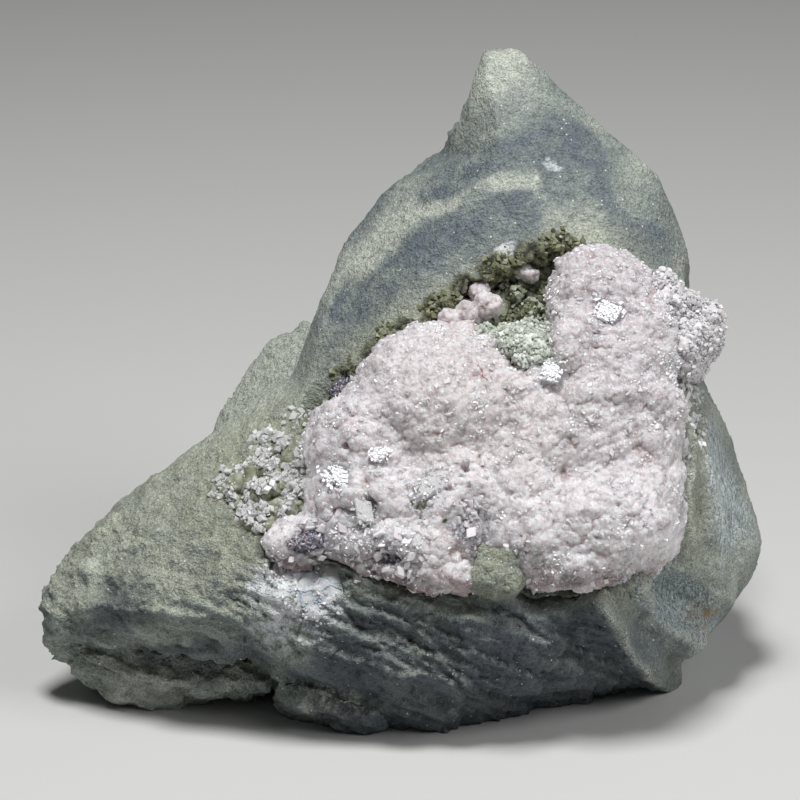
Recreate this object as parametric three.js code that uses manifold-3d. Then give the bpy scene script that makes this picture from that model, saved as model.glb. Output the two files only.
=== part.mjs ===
// A cabinet-size rhodochrosite specimen: a broken wedge of grey-green host rock with an open
// cavity across its front. The cavity is lined by olive and pale drusy crystals and mostly filled
// by a thick, lumpy crust of pale pink rhodochrosite, with a few calcite crystals and specks of
// dark sulphide.
//
// Millimetres, +Z up, +X to the right and +Y away from the front. The origin is on the surface
// that the rock stands on, below the middle of the specimen's bounding box.

import * as THREE from "three";
import { ConvexGeometry } from "three/addons/geometries/ConvexGeometry.js";
import { mergeVertices } from "three/addons/utils/BufferGeometryUtils.js";
import Module from "manifold-3d";

// ---- Driving dimensions ------------------------------------------------------------------------

const SEAT_TILT = 32; // degrees that the broken face under the crust looks up from level
const SEAT_CENTRE = [0, -15, 40]; // the point on that face from which growths are placed
const GAP = 0.3; // clearance between neighbouring pieces
const CAVITY_DEPTH = 8; // from the broken face to the cavity's floor
const CAVITY_DRAFT = 2.5; // how far the cavity's walls lean in on the way down
const CRUST_DEPTH = 9; // how far the crust's underlayer reaches below the broken face
const MOUND_DETAIL = 2; // facets on a small mound of the crust
const BROAD_DETAIL = 3; // facets on a broad one
const BEAD_DETAIL = 1; // facets on a round bead
const SCAR_CENTRE = [45.2, -29.9, 11.8]; // the middle of the sphere whose surface is the scar
const SCAR_RADIUS = 20;
const SCAR_DETAIL = 9; // facets on that sphere
const RHOMB_LEAN = 0.27; // sideways lean of a rhomb's edges, for the 75 degree corners of calcite

const wasm = await Module();
wasm.setup();

// ---- Making and joining solids -----------------------------------------------------------------

// A three.js geometry as a closed solid, ready to be joined or cut.
function solid(geometry, matrix = new THREE.Matrix4()) {
  const bare = geometry.index ? geometry.toNonIndexed() : geometry.clone();
  bare.deleteAttribute("normal");
  bare.deleteAttribute("uv");
  const merged = mergeVertices(bare.applyMatrix4(matrix), 1e-4);
  return new wasm.Manifold(
    new wasm.Mesh({
      numProp: 3,
      vertProperties: merged.attributes.position.array,
      triVerts: new Uint32Array(merged.index.array),
    }),
  );
}

function joined(solids) {
  return solids.reduce((whole, piece) => whole.add(piece));
}

function cut(whole, tools) {
  return tools.reduce((left, tool) => left.subtract(tool), whole);
}

// The largest body of a solid, without the loose chips that cutting its sockets can leave.
function largest(shape) {
  return shape
    .decompose()
    .reduce((best, body) => (body.volume() > best.volume() ? body : best));
}

// The convex block that some corners span. With `extra`, every face moves out by at least that.
function block(corners, extra = 0, matrix) {
  const steps = extra > 0 ? [-extra, extra] : [0];
  const points = [];
  for (const [x, y, z] of corners) {
    for (const dx of steps) {
      for (const dy of steps) {
        for (const dz of steps) {
          points.push(new THREE.Vector3(x + dx, y + dy, z + dz));
        }
      }
    }
  }
  return solid(new ConvexGeometry(points), matrix);
}

// The frame of the broken face: x across, y up along the face and z out of it.
const seat = new THREE.Matrix4()
  .makeTranslation(...SEAT_CENTRE)
  .multiply(
    new THREE.Matrix4().makeRotationX(THREE.MathUtils.degToRad(90 - SEAT_TILT)),
  );

// An ellipsoid on the broken face, given by its centre, its radii and its turn in the face.
function mound({ at, radii, turn = 0, detail = MOUND_DETAIL }, extra = 0) {
  const place = seat
    .clone()
    .multiply(new THREE.Matrix4().makeTranslation(...at))
    .multiply(new THREE.Matrix4().makeRotationZ(THREE.MathUtils.degToRad(turn)))
    .scale(new THREE.Vector3(...radii.map((radius) => radius + extra)));
  return solid(new THREE.IcosahedronGeometry(1, detail), place);
}

// A calcite-like rhomb on the broken face, given by its centre, its sizes along its three edges
// and its turns in degrees about the face's three axes.
const rhombShear = new THREE.Matrix4().makeShear(
  0,
  0,
  RHOMB_LEAN,
  0,
  RHOMB_LEAN,
  RHOMB_LEAN,
);

function rhomb({ at, size, turns }, extra = 0) {
  const place = seat
    .clone()
    .multiply(new THREE.Matrix4().makeTranslation(...at))
    .multiply(
      new THREE.Matrix4().makeRotationFromEuler(
        new THREE.Euler(...turns.map(THREE.MathUtils.degToRad)),
      ),
    )
    .multiply(rhombShear)
    .scale(new THREE.Vector3(...size.map((side) => side + 2 * extra)));
  return solid(new THREE.BoxGeometry(1, 1, 1), place);
}

// Repeatable numbers from 0 to 1, so that each run scatters the same crystals.
function dice(seed) {
  let state = seed;
  return () => {
    state = (state * 16807) % 2147483647;
    return state / 2147483647;
  };
}

// A named mesh from a finished solid.
function node(name, shape, colour, roughness, metalness = 0) {
  const { numProp, vertProperties, triVerts } = shape.getMesh();
  const positions = new Float32Array((vertProperties.length / numProp) * 3);
  for (let i = 0; i < positions.length / 3; i++) {
    const from = i * numProp;
    positions.set(vertProperties.subarray(from, from + 3), i * 3);
  }
  const geometry = new THREE.BufferGeometry()
    .setAttribute("position", new THREE.BufferAttribute(positions, 3))
    .setIndex(new THREE.BufferAttribute(triVerts, 1));
  const made = new THREE.Mesh(
    geometry,
    new THREE.MeshStandardMaterial({ color: colour, roughness, metalness }),
  );
  made.name = name;
  return made;
}

// ---- Host rock ---------------------------------------------------------------------------------

// The upright slab behind the cavity, from its foot to the brow below the summit.
const slab = block([
  [12.5, 5, 67],
  [24, 7, 64.5],
  [25.5, 14.5, 67],
  [32, 11, 62],
  [36.4, 8, 51.6],
  [34, 20, 56],
  [2.5, 16, 60.5],
  [-1.5, 15, 58.5],
  [-7, 12, 53],
  [-9.8, 9, 46.5],
  [-14, 6, 36],
  [-12, -4, 38],
  [-4, -7, 44.5],
  [9.5, -10, 47.5],
  [22, -8, 50],
  [33, -8, 45.5],
  [-6, 26, 42],
  [6, 30, 54],
  [14, 27, 66],
  [28, 27, 40],
  [38, 13, 30],
  [36, 10, 0],
  [27, 23, 0],
  [4, 29, 0],
  [-16, 25, 0],
  [-24, 6, 0],
  [-20, -8, 0],
  [30, -2, 0],
]);

// The summit, which stands up from the slab's right half.
const summit = block([
  [10.5, 16, 75.5],
  [14.5, 17, 76],
  [11.5, 21, 74.5],
  [16, 23, 73],
  [12.5, 5, 67],
  [24, 7, 64.5],
  [25.5, 14.5, 67],
  [7.5, 17, 68],
  [5, 18, 62],
  [8, 24, 60],
  [20, 22, 62],
  [8, 8, 62],
]);

// The belly under the crust: a steep front below its lip, then an undercut down to the foot.
const belly = block([
  [-16.5, -26.5, 19],
  [-13, -25.5, 23.8],
  [-6.5, -26.5, 21.5],
  [9.5, -26.8, 20.5],
  [23.8, -26, 20],
  [28.4, -24.5, 21.8],
  [-19.5, -22.8, 12.5],
  [-15, -25, 12],
  [-8, -27.6, 12.5],
  [1, -28.5, 10],
  [11, -27, 9],
  [21, -23, 8],
  [29.7, -16.5, 7],
  [-14.2, -13, 0],
  [3.6, -21.8, 0],
  [12.4, -16.6, 0],
  [21, -12.6, 0],
  [34, -6.6, 0],
  [30, 4, 0],
  [-20, 4, 0],
  [-12, -8, 37],
  [0, -12, 42],
  [24, -14, 40],
  [33, -12, 36],
]);

// The right flank, rounding back from the cavity's edge to a blunt corner and a broken base.
const flank = block([
  [33.4, -10.5, 42],
  [37, -8, 39.5],
  [37.8, 4, 37.8],
  [33.2, -15, 38],
  [37, -12.5, 33],
  [42.3, -1, 29.8],
  [42.4, -4, 26],
  [33.4, -20.8, 24],
  [39.2, -12, 22.8],
  [42.6, -6, 22.6],
  [45.5, -4, 17.6],
  [44.9, -3, 14.3],
  [40.9, -4, 7.2],
  [35.2, -5.5, 2],
  [34, -6.6, 0],
  [28.4, -24.5, 21.8],
  [29.7, -16.5, 7],
  [35.4, -12.5, 7],
  [37.5, 16, 34],
  [43.5, 12, 17],
  [38, 14, 2],
  [37.5, 3, 0],
]);

// The low lobe that runs out to the left, lit from above and overhanging a hollow.
const lobe = block([
  [-28.1, 6, 24.3],
  [-34.8, 0, 21.8],
  [-38.9, -4, 19.9],
  [-42.3, -8, 18.3],
  [-44, -11, 15.8],
  [-45.5, -12, 12.8],
  [-44.2, -12, 8.5],
  [-41.5, -15.5, 13.5],
  [-36, -19.5, 16],
  [-29.8, -22.5, 16],
  [-24, -24.5, 16],
  [-16.5, -26.5, 17],
  [-13, -25.5, 23.8],
  [-35.5, -14.5, 9.5],
  [-27, -16.5, 9],
  [-19, -19.5, 8.5],
  [-14.5, 6, 36.5],
  [-20.8, 5, 30],
  [-12, -4, 38],
  [-14, -16, 32],
  [-22, -11, 29],
  [-30, 8, 14],
  [-12, -12, 10],
]);

// The lobe's foot, whose upper edge stands out a little below that hollow.
const lobeFoot = block([
  [-44.2, -12, 8.5],
  [-43, -12, 5.5],
  [-38.5, -12, 2],
  [-34.5, -13.5, 0],
  [-33, -15, 0],
  [-25, -12.4, 0],
  [-17, -11.4, 0],
  [-36, -16, 5.4],
  [-29.5, -17.6, 5.5],
  [-22, -18, 5.4],
  [-15.5, -17.8, 5],
  [-38, -2, 0],
  [-28, 14, 0],
  [-36, 6, 6],
  [-24, 10, 10],
  [-14, -4, 12],
  [-40, -6, 10],
  [-34, -12, 11],
]);

// The small toe between the lobe's foot and the belly.
const toe = block([
  [-14.6, -15.8, 0],
  [-12.4, -18.2, 0],
  [-7.4, -20.6, 0],
  [-3, -21.9, 0],
  [-1.8, -20, 0],
  [-14.5, -19.5, 4.6],
  [-11.5, -22.6, 6],
  [-7, -24.8, 5.6],
  [-3.6, -25.4, 4.2],
  [-2, -23.4, 2.2],
  [-14, -12, 8],
  [-3, -16, 9],
]);

// The block that stands behind the slab on the left, past a shallow gully.
const backBlock = block([
  [-11, 18, 39.5],
  [-13.5, 20, 38.5],
  [-17, 20, 36.5],
  [-20, 19, 33],
  [-23.5, 17, 27],
  [-27, 14, 21],
  [-13, 5, 33],
  [-21, 6, 25],
  [-28, 7, 18],
  [-6, 28, 39],
  [-14, 28, 31],
  [-22, 27, 20],
  [-26, 16, 0],
  [-20, 26, 0],
  [-8, 27, 0],
  [-31, 9, 4],
]);

// The cavity's mouth on the broken face, [across, up], from its left end round by the top.
const MOUTH = [
  [-16, -7],
  [-12.5, -2.5],
  [-9.6, 1.5],
  [-3.6, 7.9],
  [0, 10],
  [5, 13.4],
  [12, 18],
  [21.3, 21.6],
  [28, 19.5],
  [31.8, 15],
  [34.2, 8],
  [34, -12],
  [32.5, -16.5],
  [26, -21],
  [16, -22.5],
  [-4, -20.5],
  [-17, -16],
];
const MOUTH_MIDDLE = [10, -2];

function inset([across, up], by) {
  const [x, y] = MOUTH_MIDDLE;
  const reach = Math.hypot(across - x, up - y);
  const share = (reach - by) / reach;
  return [x + (across - x) * share, y + (up - y) * share];
}

const cavity = block(
  MOUTH.flatMap((corner) => [
    [...inset(corner, CAVITY_DRAFT), -CAVITY_DEPTH],
    [...inset(corner, -CAVITY_DRAFT / 2), CAVITY_DEPTH],
  ]),
  0,
  seat,
);

// The shallow pocket on the cavity's left that the pale druse lines.
const leftPocket = block(
  [
    [-21.4, -9.4, -7.4],
    [-16.6, -3.8, -7.6],
    [-10, -1.6, -6],
    [-9, -12, -3.4],
    [-12.6, -15.6, -2],
    [-18.4, -14.8, -3.4],
    [-23, -10, 4],
    [-17, -2, 4],
    [-10, 0, 4],
    [-8, -12, 4],
    [-12, -16.4, 4],
    [-19, -16, 4],
  ],
  0,
  seat,
);

// A knob of rock that comes up through the crust near its lower edge.
const KNOB = [
  [8.5, -16.5, -CRUST_DEPTH],
  [15, -16.5, -CRUST_DEPTH],
  [9.5, -17.5, 2.4],
  [12.6, -17.8, 2.8],
  [9, -22, 2.2],
  [13.8, -21.8, 2.6],
  [11.5, -20, 3.4],
  [9, -25, -2],
  [14.5, -25, -2],
];

// The shallow shell-shaped scar of a lost flake, low on the right flank.
const scar = solid(
  new THREE.IcosahedronGeometry(SCAR_RADIUS, SCAR_DETAIL),
  new THREE.Matrix4().makeTranslation(...SCAR_CENTRE),
);

// ---- Rhodochrosite crust -----------------------------------------------------------------------

// The crust's flat underlayer, in two blocks, and the broad mounds that ran together over it.
const CRUST_BEDS = [
  [
    [-9.5, -8, -CRUST_DEPTH],
    [-7.5, -1.5, -CRUST_DEPTH],
    [-2, 6, -CRUST_DEPTH],
    [10, 5, -CRUST_DEPTH],
    [31, 2, -CRUST_DEPTH],
    [31.5, -15, -CRUST_DEPTH],
    [24, -19.5, -CRUST_DEPTH],
    [-4, -17, -CRUST_DEPTH],
    [-10.5, -8, 0],
    [-8, -1.5, 0],
    [-4, 4.5, 0],
    [-6, -2, 2.4],
    [0, 3.5, 2.6],
    [20, 4.5, 2.2],
    [32.6, 2, 0.4],
    [30.5, 0, 3.4],
    [33.6, -11.5, 0.6],
    [31, -11, 3.4],
    [32.2, -16.4, 0.8],
    [26.2, -20.4, 0.8],
    [22.4, -22, 0.8],
    [23, -20, 3.6],
    [15, -21.4, 0.4],
    [14, -18.5, 3.2],
    [0, -18, 0.6],
    [2, -16, 2.6],
    [-8, -16, 0.4],
    [-6, -13, 2.4],
  ],
  [
    [18, 3, -CRUST_DEPTH],
    [18.6, 14, -CRUST_DEPTH],
    [21, 18, -CRUST_DEPTH],
    [28, 17, -CRUST_DEPTH],
    [31, 3, -CRUST_DEPTH],
    [18, 4, 0.4],
    [18.2, 13.6, 0],
    [20.4, 18.4, 0],
    [22.4, 19.6, 0],
    [29, 18, 0],
    [30.8, 13, 0.2],
    [32, 7, 0.4],
    [32.4, 2, 0.4],
    [20, 6, 2.8],
    [20.6, 14, 2.6],
    [27, 15.4, 2.6],
    [29.5, 6, 3],
  ],
];

// The thin broken plate of crust that stands out over the rock at its lower edge.
const CRUST_PLATE = [
  [-7.5, -16.5, -2],
  [9, -16.5, -2],
  [-6.8, -18.6, -0.8],
  [0.5, -21.6, -0.6],
  [8, -22.2, -0.8],
  [-6.4, -18.2, 1.4],
  [0.4, -21.2, 2.2],
  [8.4, -22.4, 2.4],
  [9, -17, 4],
  [-1, -16, 4],
  [-7, -15.5, 2.4],
];

const CRUST_MOUNDS = [
  { at: [5, 0.8, -2], radii: [10.6, 9.4, 8.6], detail: BROAD_DETAIL },
  { at: [-3.8, -4.6, -2], radii: [7, 6.8, 6.8], turn: 20 },
  { at: [-3, -11, -2], radii: [8, 6, 7] },
  { at: [7, -9.5, -2], radii: [8.6, 7.6, 6.8] },
  { at: [14.6, -4, -2], radii: [7.4, 9, 6.4] },
  { at: [23, -2.4, -2], radii: [9.6, 8.8, 7.8], turn: 20, detail: BROAD_DETAIL },
  { at: [24, -13, -2], radii: [9.6, 8.2, 7.8], turn: 6, detail: BROAD_DETAIL },
  { at: [15.5, -15, -2], radii: [9, 6, 6.6] },
  { at: [24.4, 6.4, -2], radii: [7.4, 8.4, 7] },
  { at: [24.4, 14.2, -2], radii: [6, 5.4, 6] },
  { at: [29, -4, -2], radii: [4.8, 10, 6.6] },
  { at: [-11, -16, -2.5], radii: [5.4, 2.8, 4.2], turn: 6 },
];

function crustSolids(extra = 0) {
  return [
    ...[...CRUST_BEDS, CRUST_PLATE].map((corners) => block(corners, extra, seat)),
    ...CRUST_MOUNDS.map((one) => mound(one, extra)),
  ];
}

// ---- Smaller growths ---------------------------------------------------------------------------

// Round beads of rhodochrosite in the open part of the cavity.
const BEADS = {
  bead_cluster: [
    { at: [6.2, 11.4, -2.6], radii: [1.6, 1.5, 2] },
    { at: [8.4, 12.2, -2.2], radii: [1.7, 1.5, 1.9] },
    { at: [10.6, 13.2, -1.8], radii: [1.9, 1.6, 1.9] },
    { at: [9.6, 14.8, -2.4], radii: [1.3, 1.3, 1.6] },
    { at: [8.6, 12.6, -4.6], radii: [3, 2.2, 2.6] },
  ],
  lone_bead: [{ at: [15.6, 17.4, -3.6], radii: [1.5, 1.1, 1.6] }],
};

function beads(name, extra = 0) {
  return BEADS[name].map((one) => mound({ ...one, detail: BEAD_DETAIL }, extra));
}

// A druse is a layer of small crystals: a thin bed with rhombs scattered over its outer face.
const DRUSES = {
  upper_cavity_druse: {
    inner: [
      [1, 8, -9.5],
      [6, 12, -9.5],
      [12, 15.6, -9.5],
      [19, 18.6, -9.5],
      [18.4, 8, -9.5],
      [13, 4, -9.5],
    ],
    outer: [
      [0.6, 8.6, -6],
      [6, 12.4, -6],
      [12, 16.2, -5.6],
      [18.8, 19.2, -5],
      [18.2, 10, -5],
      [11, 8, -5.4],
    ],
    crystals: 22,
    size: [1.2, 2.2],
    seed: 11,
  },
  slot_druse: {
    inner: [
      [-10, -3.5, -9.5],
      [-9.6, 0, -9.5],
      [-3.5, 6.2, -9.5],
      [-3, 4, -9.5],
      [-8, -3, -9.5],
    ],
    outer: [
      [-11, -3.2, -6.5],
      [-9.6, 0.4, -6],
      [-3.4, 6.6, -5.4],
      [-4, 4.4, -5.4],
      [-9, -3, -6],
    ],
    crystals: 9,
    size: [1, 1.6],
    seed: 23,
  },
  saddle_druse: {
    inner: [
      [10.5, 7.5, -7],
      [18.5, 9, -7],
      [18.5, 4.4, -7],
      [13.5, 4.4, -7],
    ],
    outer: [
      [10, 9.4, 0],
      [18.6, 10.4, 0.2],
      [18.8, 5.4, 4.6],
      [15, 4.4, 4.6],
      [11.8, 7.4, 2.8],
    ],
    crystals: 16,
    size: [1, 1.8],
    seed: 37,
  },
  left_druse: {
    inner: [
      [-20, -9, -13],
      [-16, -4.5, -13],
      [-11, -2.8, -12],
      [-10.4, -12, -12],
      [-13, -14.6, -12],
      [-18, -14, -12],
    ],
    outer: [
      [-20.6, -9, -7.4],
      [-16.4, -4.4, -7.6],
      [-11.6, -2.6, -6.4],
      [-10.6, -11.6, -3.4],
      [-13, -14.6, -2.4],
      [-18, -14, -3.6],
    ],
    crystals: 30,
    size: [1.2, 2.4],
    seed: 41,
  },
  calcite_patch: {
    inner: [
      [-15.6, -18.4, -5],
      [-7, -19, -5],
      [-7.4, -23, -4],
      [-13, -23.4, -4],
    ],
    outer: [
      [-15.6, -19, 0.6],
      [-8, -19.4, 2.4],
      [-7.4, -22.6, 2.4],
      [-12.6, -23.2, 1.4],
    ],
    crystals: 12,
    size: [1, 1.8],
    seed: 53,
  },
  edge_cluster: {
    inner: [
      [32.4, 14, -8],
      [35, 13, -8],
      [36.4, 6, -8],
      [34, 4.6, -8],
    ],
    outer: [
      [31.8, 14.6, -0.4],
      [36, 13.2, -1.2],
      [38, 8, -1.4],
      [34.6, 5, 0.6],
    ],
    crystals: 20,
    size: [1.4, 3],
    seed: 67,
  },
};

function druse(name, extra = 0) {
  const { inner, outer, crystals, size, seed } = DRUSES[name];
  const [least, most] = size;
  const roll = dice(seed);
  const scattered = Array.from({ length: crystals }, () => {
    const shares = outer.map(() => -Math.log(roll()));
    const total = shares.reduce((sum, share) => sum + share);
    const at = [0, 1, 2].map((axis) =>
      outer.reduce(
        (sum, corner, i) => sum + (corner[axis] * shares[i]) / total,
        0,
      ),
    );
    const side = least + (most - least) * roll();
    const turns = [360 * roll(), 360 * roll(), 360 * roll()];
    return rhomb({ at, size: [side, side * 0.85, side * 0.85], turns }, extra);
  });
  return [block([...inner, ...outer], extra, seat), ...scattered];
}

// Single calcite crystals that stand in the crust.
const CALCITES = {
  glinting_crystal_left: [
    { at: [-7.2, -9, 2.9], size: [3, 3.6, 1.6], turns: [20, -14, 24] },
  ],
  glinting_crystal_middle: [
    { at: [-2.4, -6.8, 4.6], size: [2.2, 1.8, 1.2], turns: [14, 4, 10] },
  ],
  clear_crystal_block: [
    { at: [-4.6, -14.2, 3.6], size: [3.2, 2.8, 2.8], turns: [32, 24, 12] },
    { at: [-3.2, -12.6, 3.2], size: [2, 2.6, 2.2], turns: [60, 10, 40] },
  ],
  clear_crystal_flake: [
    { at: [3.6, -10.6, 4.6], size: [4.2, 2.6, 1], turns: [26, -20, 30] },
  ],
  glinting_crystal_saddle: [
    { at: [18.2, 3.4, 4.8], size: [2.8, 2.4, 1.6], turns: [18, -10, 15] },
  ],
  glinting_crystal_upper: [
    { at: [24.8, 10.6, 4.4], size: [2.8, 2.2, 1.4], turns: [12, -8, 35] },
  ],
};

function crystals(name, extra = 0) {
  return CALCITES[name].map((one) => rhomb(one, extra));
}

// Specks of dark sulphide along the crust's lower edge and in the slot on its left.
const SULPHIDES = {
  sulphide_speck_left: [
    { at: [-11, -16.4, 0.9], radii: [3, 1.3, 1], turn: 8 },
  ],
  sulphide_speck_middle: [
    { at: [-1, -18.6, 1.8], radii: [2.6, 1.1, 1], turn: -8 },
  ],
  sulphide_speck_slot: [
    { at: [-6.8, 3.2, -5], radii: [2.2, 1.5, 1.6], turn: 45 },
  ],
};

function specks(name, extra = 0) {
  return SULPHIDES[name].map((one) => mound({ ...one, detail: BEAD_DETAIL }, extra));
}

// ---- The specimen ------------------------------------------------------------------------------

// Pieces in the order in which they take their place: each one is cut away, with a clearance, from
// all the pieces after it.
const PIECES = [
  ...Object.keys(CALCITES).map((name) => [name, crystals, 0xe6e4e2, 0.15]),
  ...Object.keys(SULPHIDES).map((name) => [name, specks, 0x6c6c74, 0.35]),
  ...Object.keys(BEADS).map((name) => [name, beads, 0xe2cccb, 0.35]),
  ["upper_cavity_druse", druse, 0x6c6e50, 0.6],
  ["slot_druse", druse, 0x5c5f4e, 0.6],
  ["saddle_druse", druse, 0xaeb2a4, 0.45],
  ["left_druse", druse, 0xb4b6a8, 0.45],
  ["calcite_patch", druse, 0xdcdfe0, 0.5],
  ["edge_cluster", druse, 0xc8c8c4, 0.45],
  ["rhodochrosite_crust", (name, extra) => crustSolids(extra), 0xd0c4c8, 0.4],
];

const specimen = new THREE.Group();
const taken = [block(KNOB, GAP, seat)];
for (const [name, make, colour, roughness] of PIECES) {
  const shape = largest(cut(joined(make(name, 0)), taken));
  specimen.add(node(name, shape, colour, roughness));
  taken.push(joined(make(name, GAP)));
}

const brokenRock = joined([
  slab,
  summit,
  belly,
  flank,
  lobe,
  lobeFoot,
  toe,
  backBlock,
]);
const hostRock = largest(
  joined([
    cut(brokenRock, [cavity, leftPocket, scar, ...taken.slice(1)]),
    cut(block(KNOB, 0, seat), taken.slice(1, -1)),
  ]),
);
specimen.add(node("host_rock", hostRock, 0x8b918a, 0.8));

export default specimen;
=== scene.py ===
# A cabinet-size rhodochrosite specimen. A wedge of grey-green rock holds an open cavity across its
# front. Olive and pale drusy crystals line the cavity, and a thick, lumpy crust of pale pink
# rhodochrosite fills most of it, with a few calcite crystals and specks of dark sulphide.

import math

import bpy
import numpy as np
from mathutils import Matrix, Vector, kdtree, noise
from mathutils.bvhtree import BVHTree


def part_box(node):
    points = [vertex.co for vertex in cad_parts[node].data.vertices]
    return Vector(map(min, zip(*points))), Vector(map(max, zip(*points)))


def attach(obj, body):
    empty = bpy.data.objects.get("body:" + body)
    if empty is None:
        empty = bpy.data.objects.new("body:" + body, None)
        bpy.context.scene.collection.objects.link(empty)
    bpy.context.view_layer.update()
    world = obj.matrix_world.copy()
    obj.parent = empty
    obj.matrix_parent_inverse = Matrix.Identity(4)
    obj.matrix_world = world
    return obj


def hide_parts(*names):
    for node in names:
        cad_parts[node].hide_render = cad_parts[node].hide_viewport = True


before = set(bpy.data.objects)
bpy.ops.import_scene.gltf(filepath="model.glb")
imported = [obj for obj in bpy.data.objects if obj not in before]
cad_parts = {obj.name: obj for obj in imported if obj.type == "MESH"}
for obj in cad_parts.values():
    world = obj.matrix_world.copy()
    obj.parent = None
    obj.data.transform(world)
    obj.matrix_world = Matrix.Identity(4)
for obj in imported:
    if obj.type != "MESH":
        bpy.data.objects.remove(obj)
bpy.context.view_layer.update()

# ---- Host rock ---------------------------------------------------------------------------------
# One broken wedge of fine-grained, grey-green altered rock. Its back slab parted along smooth,
# mottled faces, while the belly and the low left lobe tore across the grain into thin scales.
# The rock holds everything else: each growth sits where its minerals grew on it.

MM = 0.001
ROCK_VOXEL = 0.42  # mm between points before the surface is thinned out
ROCK_FACES = 196000
GRAIN_FRAME = np.array([  # along the torn flakes, across them, and through their thickness
    [0.86, 0.18, -0.47],
    [0.39, -0.83, 0.40],
    [-0.32, -0.53, -0.79],
]).T
# Sharp edges between the broken facets, low on the right.
OUTER_RIDGE = [(27.8, -24.7, 21.6), (28.9, -19.8, 17.4), (31.8, -15.1, 11.9), (34.9, -13, 9.1),
               (36.1, -12.2, 8.4)]
BELLY_RIDGE = [(22.5, -27, 20), (24.3, -25.2, 18.6), (26.3, -21.8, 13.3), (29.6, -16, 6.5),
               (33.8, -7.1, 0.4)]
FLANK_RIDGE = [(33.6, -17.6, 22.5), (35.2, -14.3, 19.3), (38.4, -11.4, 15), (40.2, -8.6, 12.6)]
CAVITY_RIDGE = [(34.2, -14.5, 35), (34.3, -16.5, 31.2), (34, -18.5, 27.5), (33.6, -17.6, 22.5),
                (27.8, -24.7, 21.6)]
SIDE_RIDGE = [(37.5, -13.1, 30.4), (38.8, -12.3, 24.6), (39.4, -11.9, 19.1)]
ROCK_CRESTS = [  # [corners, height]
    [OUTER_RIDGE, 2.3], [BELLY_RIDGE, 2.3], [FLANK_RIDGE, 1.9], [CAVITY_RIDGE, 1.8],
    [SIDE_RIDGE, 1.6]]
CREST_WIDTH = 3.2
BRIGHT_RIM_WIDTH = 0.7
ROCK_SHELLS = [  # [place, radius, depth]: shallow shell-shaped scars between those edges
    [(33.4, -15.2, 15.5), 6, 1.6], [(29.4, -17.6, 11.9), 4.5, 1.4], [(41, -9.5, 21), 6, 1],
    [(36.2, -15.4, 26), 3, 0.6], [(22, -25, 13), 6, 1.2]]
ROCK_PITS = [  # [place, radius, depth]
    [(36.1, -12, 35.7), 2, 1.6], [(-39, -15, 17), 2.2, 0.8], [(-36, -17.6, 16.8), 2.6, 0.9],
    [(-31.5, -21, 16.6), 2, 0.7], [(16.5, -26.8, 20.6), 3.6, 4.6], [(20.5, -26.6, 20.4), 3.6, 4.2],
    [(9.5, -27.6, 21), 2, 1.2], [(-13.8, -24.4, 21), 1.4, 0.6]]
SHAGGY_RIM = [  # [place, inner radius, outer radius]: where olive crystals hang over the cavity
    [(19.5, -3.2, 56), 1.6, 3.2], [(16, -4.4, 55.2), 1.8, 3.4], [(12, -5.2, 53.6), 1.8, 3.4],
    [(8, -6.2, 51.8), 1.6, 3.2], [(4, -7, 49.8), 1.4, 2.8], [(0, -7.4, 47.6), 1.2, 2.6],
    [(-4, -7.6, 45), 1.2, 2.6], [(-8, -7.8, 42), 1.4, 3], [(-12, -9, 38), 1, 2.6]]
ROCK_KNOB = [(10.9, -27, 25), 3, 5.4, 1.3]  # place, inner and outer radius, height
DARK_BANDS = [  # [corners, half width]: blue-grey bands that run across the slab
    [[(23, 9, 67), (20.7, 9, 67.6), (14.8, 5.3, 66.4), (9.9, 3.7, 63.8), (4.5, 7, 61)], 3.6],
    [[(14, -0.6, 59.2), (9, -0.6, 58.2), (4.9, -1.4, 55.6), (0, -1.2, 51.7), (-6, 2, 47.6)], 4.4],
    [[(23.6, 7, 64.6), (25.9, 3.8, 60.4), (29.6, 1.6, 55.9), (33, 1, 51)], 3.4],
    [[(7.5, 0.2, 58.2), (3, 1.2, 55.6), (-2, 1.6, 51.2)], 3.4],
]
PALE_BANDS = [
    [[(16, 4, 64.6), (12.3, 1.9, 62.6), (6.2, 3.1, 60), (1.2, 5.3, 56.7), (-4, 6, 52)], 2.4],
    [[(23, -0.5, 58.2), (28, -2, 55)], 2.6],
]
PALE_SPOTS = [  # [place, inner radius, outer radius]
    [(12.5, 14, 75), 2, 10], [(37, -11, 37), 6, 12], [(38, -13, 25), 6, 12],
    [(33, -15, 15), 3, 6.5], [(-19, 15, 31), 9, 15], [(41, -9, 20), 4, 11],
    [(-28, -16, 4), 6, 12], [(-8, -22, 3), 3, 6], [(4, 3, 57), 1, 4], [(-20, 2, 31), 4, 12],
    [(-5, 5, 50), 3, 9], [(36.8, -14, 29.5), 4, 8], [(0, 6, 57), 3, 8], [(-14, -26, 15), 2, 6]]
WHITE_SPOTS = [
    [(-12, -26, 19.5), 3.5, 7.5], [(12.6, -3.5, 56), 0.5, 3], [(18.9, 5, 64.6), 0.2, 2.4],
    [(-16, -24, 21), 1.5, 5], [(-15, -25.5, 15.5), 1, 5]]
SEAT_CENTRE = np.array([0.0, -15.0, 40.0])  # the middle of the broken face with the cavity
SEAT_UP = np.array([0.0, 0.53, 0.848])
SEAT_OUT = np.array([0.0, -0.848, 0.53])


def placed(name, data):
    """A new object in the scene that holds a mesh, a lamp or a camera."""
    thing = bpy.data.objects.new(name, data)
    bpy.context.scene.collection.objects.link(thing)
    return thing


def copy_of(node, name):
    """A new piece with its own copy of a CAD node's mesh."""
    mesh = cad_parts[node].data.copy()
    mesh.materials.clear()
    return placed(name, mesh)


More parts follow.
